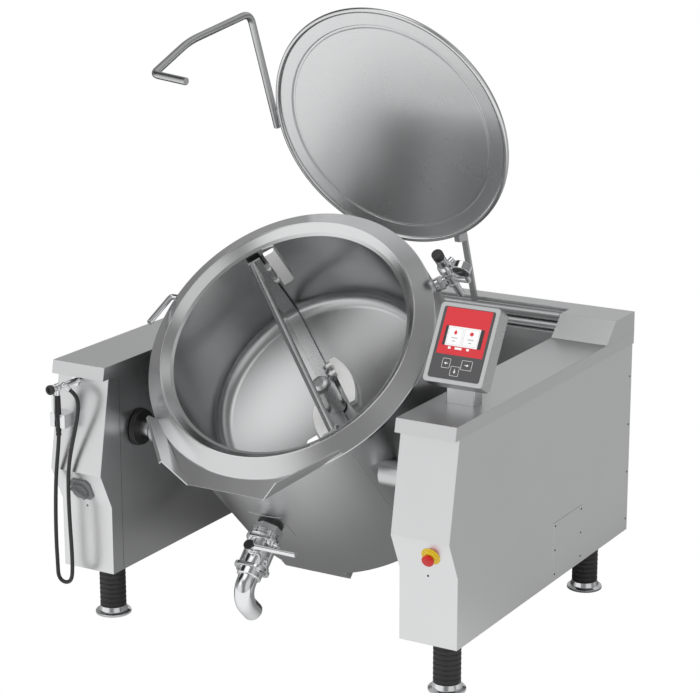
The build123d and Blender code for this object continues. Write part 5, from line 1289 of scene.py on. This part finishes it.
# ---------------------------------------------------------------- safety group
# The tee's middle below the valve's cap joint, and the gauge's reach, rise, radius and depth.
TEE_DROP = 0.112
GAUGE_REACH, GAUGE_RISE, GAUGE_RADIUS, GAUGE_DEPTH = 0.062, 0.066, 0.031, 0.027
BRANCH_TURN = math.degrees(math.atan2(1.6, 0.8))
CAP_FLUTES = 20
CAP_FLUTE = 0.035
GAUGE_MARKS = 11
GAUGE_START = 225
GAUGE_STEP = 27
NEEDLE_TURN = 205


class KETTLE_OT_safety_group(bpy.types.Operator):
    """Build the jacket's safety valve, its inlet, cap, drain stub and pressure gauge"""

    bl_idname = "kettle.safety_group"
    bl_label = "Safety group"

    def execute(self, context):
        drop = TEE_DROP
        tee = [(0, -drop - 0.030), (0.017, -drop - 0.030), (0.021, -drop - 0.024), (0.021, -drop - 0.014),
               (0.018, -drop - 0.012), (0.018, 0.012 - drop), (0.021, 0.014 - drop), (0.021, 0.028 - drop),
               (0.019, 0.030 - drop), (0, 0.030 - drop)]
        turned_part("safety_tee", "tee_body", tee, 0.0010, GROUP)
        dress(hex_bar("tee_nut", 0.0441, 0.030 - drop, 0.044 - drop, GROUP), "safety_tee")
        stub = [(0.0105, -0.207), (0.0125, -0.207), (0.0125, -drop - 0.028), (0.0105, -drop - 0.028)]
        turned_part("safety_tee", "drain_stub", stub, 0.0006, GROUP, closed=True)
        inward = KETTLE @ turn("z", 90 - math.degrees(GROUP_TURN)) @ move(0, 0, -drop) @ turn("y", 90)
        inlet = [(0, 0.489), (0.023, 0.489), (0.023, 0.500), (0.021, 0.502), (0.018, 0.502), (0.018, 0.528),
                 (0, 0.528)]
        turned_part("safety_tee", "safety_inlet", inlet, 0.0008, inward)
        dress(hex_bar("inlet_nut", 0.042, 0.503, 0.517, inward), "safety_tee", slot="satin_steel")
        foot = 0.044 - drop
        valve = [(0, foot), (0.021, foot), (0.024, foot + 0.006), (0.024, foot + 0.024),
                 (0.019, foot + 0.031), (0.017, foot + 0.034), (0.017, 0.004), (0, 0.004)]
        turned_part("safety_valve", "valve_housing", valve, 0.0012, GROUP)
        # Each spring slot is a thin dark plate: painted shade of the opening in the valve's housing.
        for index in range(4):
            place = GROUP @ turn("z", 45 + 90 * index) @ move(0.0168, 0, -0.016) @ turn("y", 90)
            dress(plate(f"spring_slot_{index + 1}", rectangle(0.022, 0.009, 0.004), 0, 0.0008, place, 0.0002),
                  "safety_valve", slot="seam_shadow")
        side = GROUP @ move(0, 0, foot + 0.016) @ turn("z", BRANCH_TURN) @ turn("y", 90)
        branch = [(0, 0.015), (0.013, 0.015), (0.013, 0.0365), (0.0115, 0.0375), (0.0095, 0.0375),
                  (0.0095, 0.030), (0, 0.030)]
        turned_part("safety_valve", "valve_branch", branch, 0.0006, side)
        cap = [(0, 0.0043), (0.019, 0.0043), (0.019, 0.0283), (0, 0.0283)]
        cap = rounded(cap, [0, 0.0015, 0.0063, 0], 6, closed=False)
        angle = np.linspace(0, 2 * np.pi, 96, endpoint=False)[:, None]
        radius = cap[:, 0] * (1 - CAP_FLUTE * np.abs(np.sin(CAP_FLUTES / 2 * angle)) * (cap[:, 1] < 0.0215))
        grid = np.stack([radius * np.cos(angle), radius * np.sin(angle), cap[:, 1] + 0 * angle], axis=-1)
        dress(surface("vent_cap_finished", grid, GROUP, wrap_u=True), "vent_cap")
        self.add_gauge()
        return {"FINISHED"}

    def add_gauge(self):
        """Round gauge on its stem, with a dark dial, tick marks and a pointer."""
        radius, depth, level = GAUGE_RADIUS, GAUGE_DEPTH, GAUGE_RISE - TEE_DROP
        branch = [(0, 0.015), (0.010, 0.015), (0.010, 0.066), (0, 0.066)]
        turned_part("safety_tee", "gauge_branch", branch, 0.002,
                    GROUP @ move(0, 0, -TEE_DROP) @ turn("y", 90), 40)
        low, high = 0.002 - TEE_DROP, level - radius + 0.003
        stem = [(0, low), (0.009, low), (0.009, high), (0, high)]
        turned_part("pressure_gauge", "gauge_stem", stem, 0.0008, GROUP @ move(GAUGE_REACH, 0, 0), 40)
        face = GROUP @ move(GAUGE_REACH, depth / 2, level) @ turn("x", 90)
        case = [(0, 0), (radius - 0.002, 0), (radius, 0.002), (radius, depth - 0.0010),
                (radius - 0.001, depth), (radius - 0.004, depth), (radius - 0.0045, depth - 0.0018),
                (0, depth - 0.0018)]
        turned_part("pressure_gauge", "gauge_case", case, 0.0006, face, 64)
        top = depth - 0.0010
        dial = plate("gauge_dial", circle(radius - 0.005, sides=48), depth - 0.0018, top, face, 0.0001)
        dress(dial, "pressure_gauge", slot="dial_black")
        for index in range(GAUGE_MARKS):
            place = face @ turn("z", GAUGE_START - GAUGE_STEP * index) @ move(0.0205, 0, top)
            length = 0.0052 if index % 5 == 0 else 0.0034
            outline = rectangle(length, 0.0008, 0.0002, steps=1)
            mark = plate(f"gauge_mark_{index + 1}", outline, 0, 0.0002, place, 0.00005)
            dress(mark, "pressure_gauge", slot="print_white")
        outline = np.array([(-0.012, -0.0009), (0.013, -0.0002), (0.013, 0.0002), (-0.012, 0.0009)])
        place = face @ turn("z", NEEDLE_TURN) @ move(0.006, 0, top)
        dress(plate("gauge_needle", outline, 0.0003, 0.0006, place, 0.00005), "pressure_gauge",
              slot="print_white")


# ---------------------------------------------------------------- controls
# X from the face's middle and Z above its foot; a key has its middle, its arrow's heading and its width.
GLASS = ((-0.086, 0.086), (0.0145, 0.2375))
GLASS_THICK = 0.002
RED_FOOT = 0.0887
RED_MARGIN = 0.017
SCREEN = ((-0.0558, 0.0526), (0.117, 0.178))
SCREEN_BARS = (("left", -0.0092), ("right", 0.0124))
SCREEN_LINES = ((0.020, 0.036), (0.010, 0.046))
SCREEN_BUTTONS = ((-0.0375, 0.009), (-0.008, 0.023), (0.024, 0.009))
KEYS = ((-0.0350, 0.0620, 180, 0.027), (0.0335, 0.0630, 0, 0.036), (-0.0015, 0.0405, -90, 0.029))
KEY_HEIGHT = 0.0300
KEY_LINE = 0.0009
ARROW_SCALE = 1.1
ARROW = np.array([
    (-0.006, -0.0009), (0.0005, -0.0009), (0.0005, -0.0036), (0.0065, 0), (0.0005, 0.0036), (0.0005, 0.0009),
    (-0.006, 0.0009),
]) * ARROW_SCALE
DROP = np.array([
    (0, 0.0105), (0.0050, 0.0020), (0.0046, -0.0030), (0, -0.0062), (-0.0046, -0.0030), (-0.0050, 0.0020),
])


def printed(name, outline, level, slot):
    """Printed or lit area on the control glass, one thin film above another by its level."""
    height = LIFT * level
    film = plate(name, outline, height - LIFT, height, PANEL, LIFT * 0.2)
    return dress(film, "control_glass", replace=False, slot=slot)


def outline_frame(name, width, height, corner, line, middle, level, slot):
    """Thin frame: the rounded rectangle's outline and its copy moved inwards, on two levels."""
    outer = rectangle(width, height, corner, middle)
    inner = rectangle(width - 2 * line, height - 2 * line, max(corner - line, line), middle)
    low, high = LIFT * (level - 1), LIFT * level
    rings = [(outer, low), (outer, high), (inner, high), (inner, low)]
    grid = np.stack([np.column_stack([ring, np.full(len(ring), z)]) for ring, z in rings])
    frame_line = surface(name, grid, PANEL, wrap_u=True, wrap_v=True)
    return dress(frame_line, "control_glass", replace=False, slot=slot)


class KETTLE_OT_control_panel(bpy.types.Operator):
    """Build the control box on its post, its dark glass, printed field, screen and touch keys"""

    bl_idname = "kettle.control_panel"
    bl_label = "Control panel"

    def execute(self, context):
        softened("control_box", 0.0012)
        softened("control_post", 0.0010)
        (left, right), (low, high) = GLASS
        middle = ((left + right) / 2, (low + high) / 2)
        glass = rectangle(right - left, high - low, 0.007, middle)
        dress(plate("control_glass_finished", glass, -GLASS_THICK, 0, PANEL, 0.0004), "control_glass")
        centre = (0.0005, (RED_FOOT + high) / 2 - 0.0005)
        field = rectangle(right - left - RED_MARGIN, high - RED_FOOT - 0.002, 0.003, centre)
        printed("control_field", field, 1, "print_red")
        self.add_screen()
        for index, (x, y, heading, width) in enumerate(KEYS):
            outline_frame(f"touch_key_{index + 1}", width, KEY_HEIGHT, 0.003, KEY_LINE, (x, y), 1,
                          "print_white")
            spin = turn("z", heading)[:2, :2]
            printed(f"touch_arrow_{index + 1}", ARROW @ spin.T + (x, y), 1, "print_white")
        return {"FINISHED"}

    def add_screen(self):
        """White screen between two dark bars, with two tiles of plain shapes, and plates below it."""
        (left, right), (low, high) = SCREEN
        middle = ((left + right) / 2, (low + high) / 2)
        for (side, reach), edge in zip(SCREEN_BARS, SCREEN[0]):
            bar = rectangle(abs(reach), high - low, 0.0008, (edge + reach / 2, middle[1]))
            printed(f"screen_{side}_bar", bar, 2, "dial_black")
        printed("screen_back", rectangle(right - left, high - low, 0.0015, middle), 2, "print_white")
        width = (right - left) / 2
        for index, x in enumerate((left + width * 0.5, left + width * 1.5)):
            name = f"screen_tile_{index + 1}"
            outline_frame(name, width * 0.9, 0.054, 0.003, 0.0005, (x, middle[1]), 3, "print_grey")
        centre = (left + width * 0.5, high - 0.020)
        printed("screen_drop", rounded(DROP + centre, 0.0035)[::-1], 3, "print_red")
        printed("screen_lamp", circle(0.0062, (left + width * 1.5, high - 0.018), 28), 3, "print_red")
        for index, x in enumerate((0.5, 1.5)):
            for line, (length, drop) in enumerate(SCREEN_LINES):
                bar = rectangle(length, 0.0026, 0.0008, (left + width * x, high - drop), 2)
                printed(f"screen_line_{2 * index + line + 1}", bar, 3, "print_grey")
        for index, (x, length) in enumerate(SCREEN_BUTTONS):
            button = rectangle(length, 0.0070, 0.0012, (x, low - 0.0065), 2)
            printed(f"screen_button_{index + 1}", button, 2, "print_white")


STOP_PLACE = (0.025, 0.009, 0)
GRIP_LOBES = 6
GRIP_DEPTH = 0.03


class KETTLE_OT_switches(bpy.types.Operator):
    """Build the stop button and the main switch on the columns' chins"""

    bl_idname = "kettle.switches"
    bl_label = "Switches"

    def execute(self, context):
        stop = CHIN @ move(*STOP_PLACE)
        ring = [(0.0122, 0), (0.031, 0), (0.031, 0.0018), (0.0295, 0.003), (0.0205, 0.0034), (0.018, 0.0055),
                (0.018, 0.0097), (0.0122, 0.0097)]
        turned_part("estop_base", "estop_ring", ring, 0.0006, stop, 96, True)
        head = [(0, 0.0053), (0.012, 0.0053), (0.012, 0.015), (0.0165, 0.015), (0.0195, 0.0185),
                (0.0195, 0.0240), (0.0165, 0.0280), (0.009, 0.0290), (0, 0.0290)]
        profile = rounded(head, 0.0014, closed=False)
        angle = np.linspace(0, 2 * np.pi, 96, endpoint=False)[:, None]
        radius, height = profile[:, 0], profile[:, 1]
        gripped = (height > 0.0165) & (height < 0.0262) & (radius > 0.0185)
        radius = radius * (1 - GRIP_DEPTH * (np.sin(GRIP_LOBES * angle) > 0.4) * gripped)
        grid = np.stack([radius * np.cos(angle), radius * np.sin(angle), height + 0 * angle], axis=-1)
        dress(surface("estop_head_finished", grid, stop, wrap_u=True), "estop_head")
        softened("isolator_base", 0.0014)
        softened("isolator_knob", 0.0016)
        return {"FINISHED"}


class KETTLE_OT_inner_parts(bpy.types.Operator):
    """Give the parts inside the columns and the kettle their finishes"""

    bl_idname = "kettle.inner_parts"
    bl_label = "Inner parts"

    def execute(self, context):
        for node, piece in frame["nodes"].items():
            if not piece.hide_render:
                piece.data.materials.clear()
                piece.data.materials.append(FINISHES[SLOT_OF[node]])
        return {"FINISHED"}


class KETTLE_PT_panel(bpy.types.Panel):
    """Lists the operators and the values that they read"""

    bl_idname = "KETTLE_PT_panel"
    bl_label = "Kettle"
    bl_space_type = "VIEW_3D"
    bl_region_type = "UI"
    bl_category = "Kettle"

    def draw(self, context):
        layout = self.layout
        for values in (context.scene.kettle_sizes, context.scene.kettle_colours):
            for name in values.bl_rna.properties.keys():
                if name not in ("rna_type", "name"):
                    layout.prop(values, name)
        for operator in OPERATORS:
            layout.operator(operator.bl_idname)


OPERATORS = (
    KETTLE_OT_stage,
    KETTLE_OT_spray_gun,
    KETTLE_OT_spray_hose,
    KETTLE_OT_columns,
    KETTLE_OT_feet,
    KETTLE_OT_kettle_body,
    KETTLE_OT_stirrer,
    KETTLE_OT_lid,
    KETTLE_OT_drain,
    KETTLE_OT_safety_group,
    KETTLE_OT_control_panel,
    KETTLE_OT_switches,
    KETTLE_OT_inner_parts,
)
CLASSES = (KettleSizes, KettleColours, *OPERATORS, KETTLE_PT_panel)


def register():
    """Registers the classes and hangs the values on the scene."""
    for item in CLASSES:
        bpy.utils.register_class(item)
    bpy.types.Scene.kettle_sizes = bpy.props.PointerProperty(type=KettleSizes)
    bpy.types.Scene.kettle_colours = bpy.props.PointerProperty(type=KettleColours)


def unregister():
    """Takes the values and the classes away again."""
    del bpy.types.Scene.kettle_colours
    del bpy.types.Scene.kettle_sizes
    for item in reversed(CLASSES):
        bpy.utils.unregister_class(item)


def main():
    """Runs the operators in order."""
    register()
    make_finishes(bpy.context.scene.kettle_colours)
    for operator in OPERATORS:
        group, name = operator.bl_idname.split(".")
        getattr(getattr(bpy.ops, group), name)()


if __name__ == "__main__":
    main()
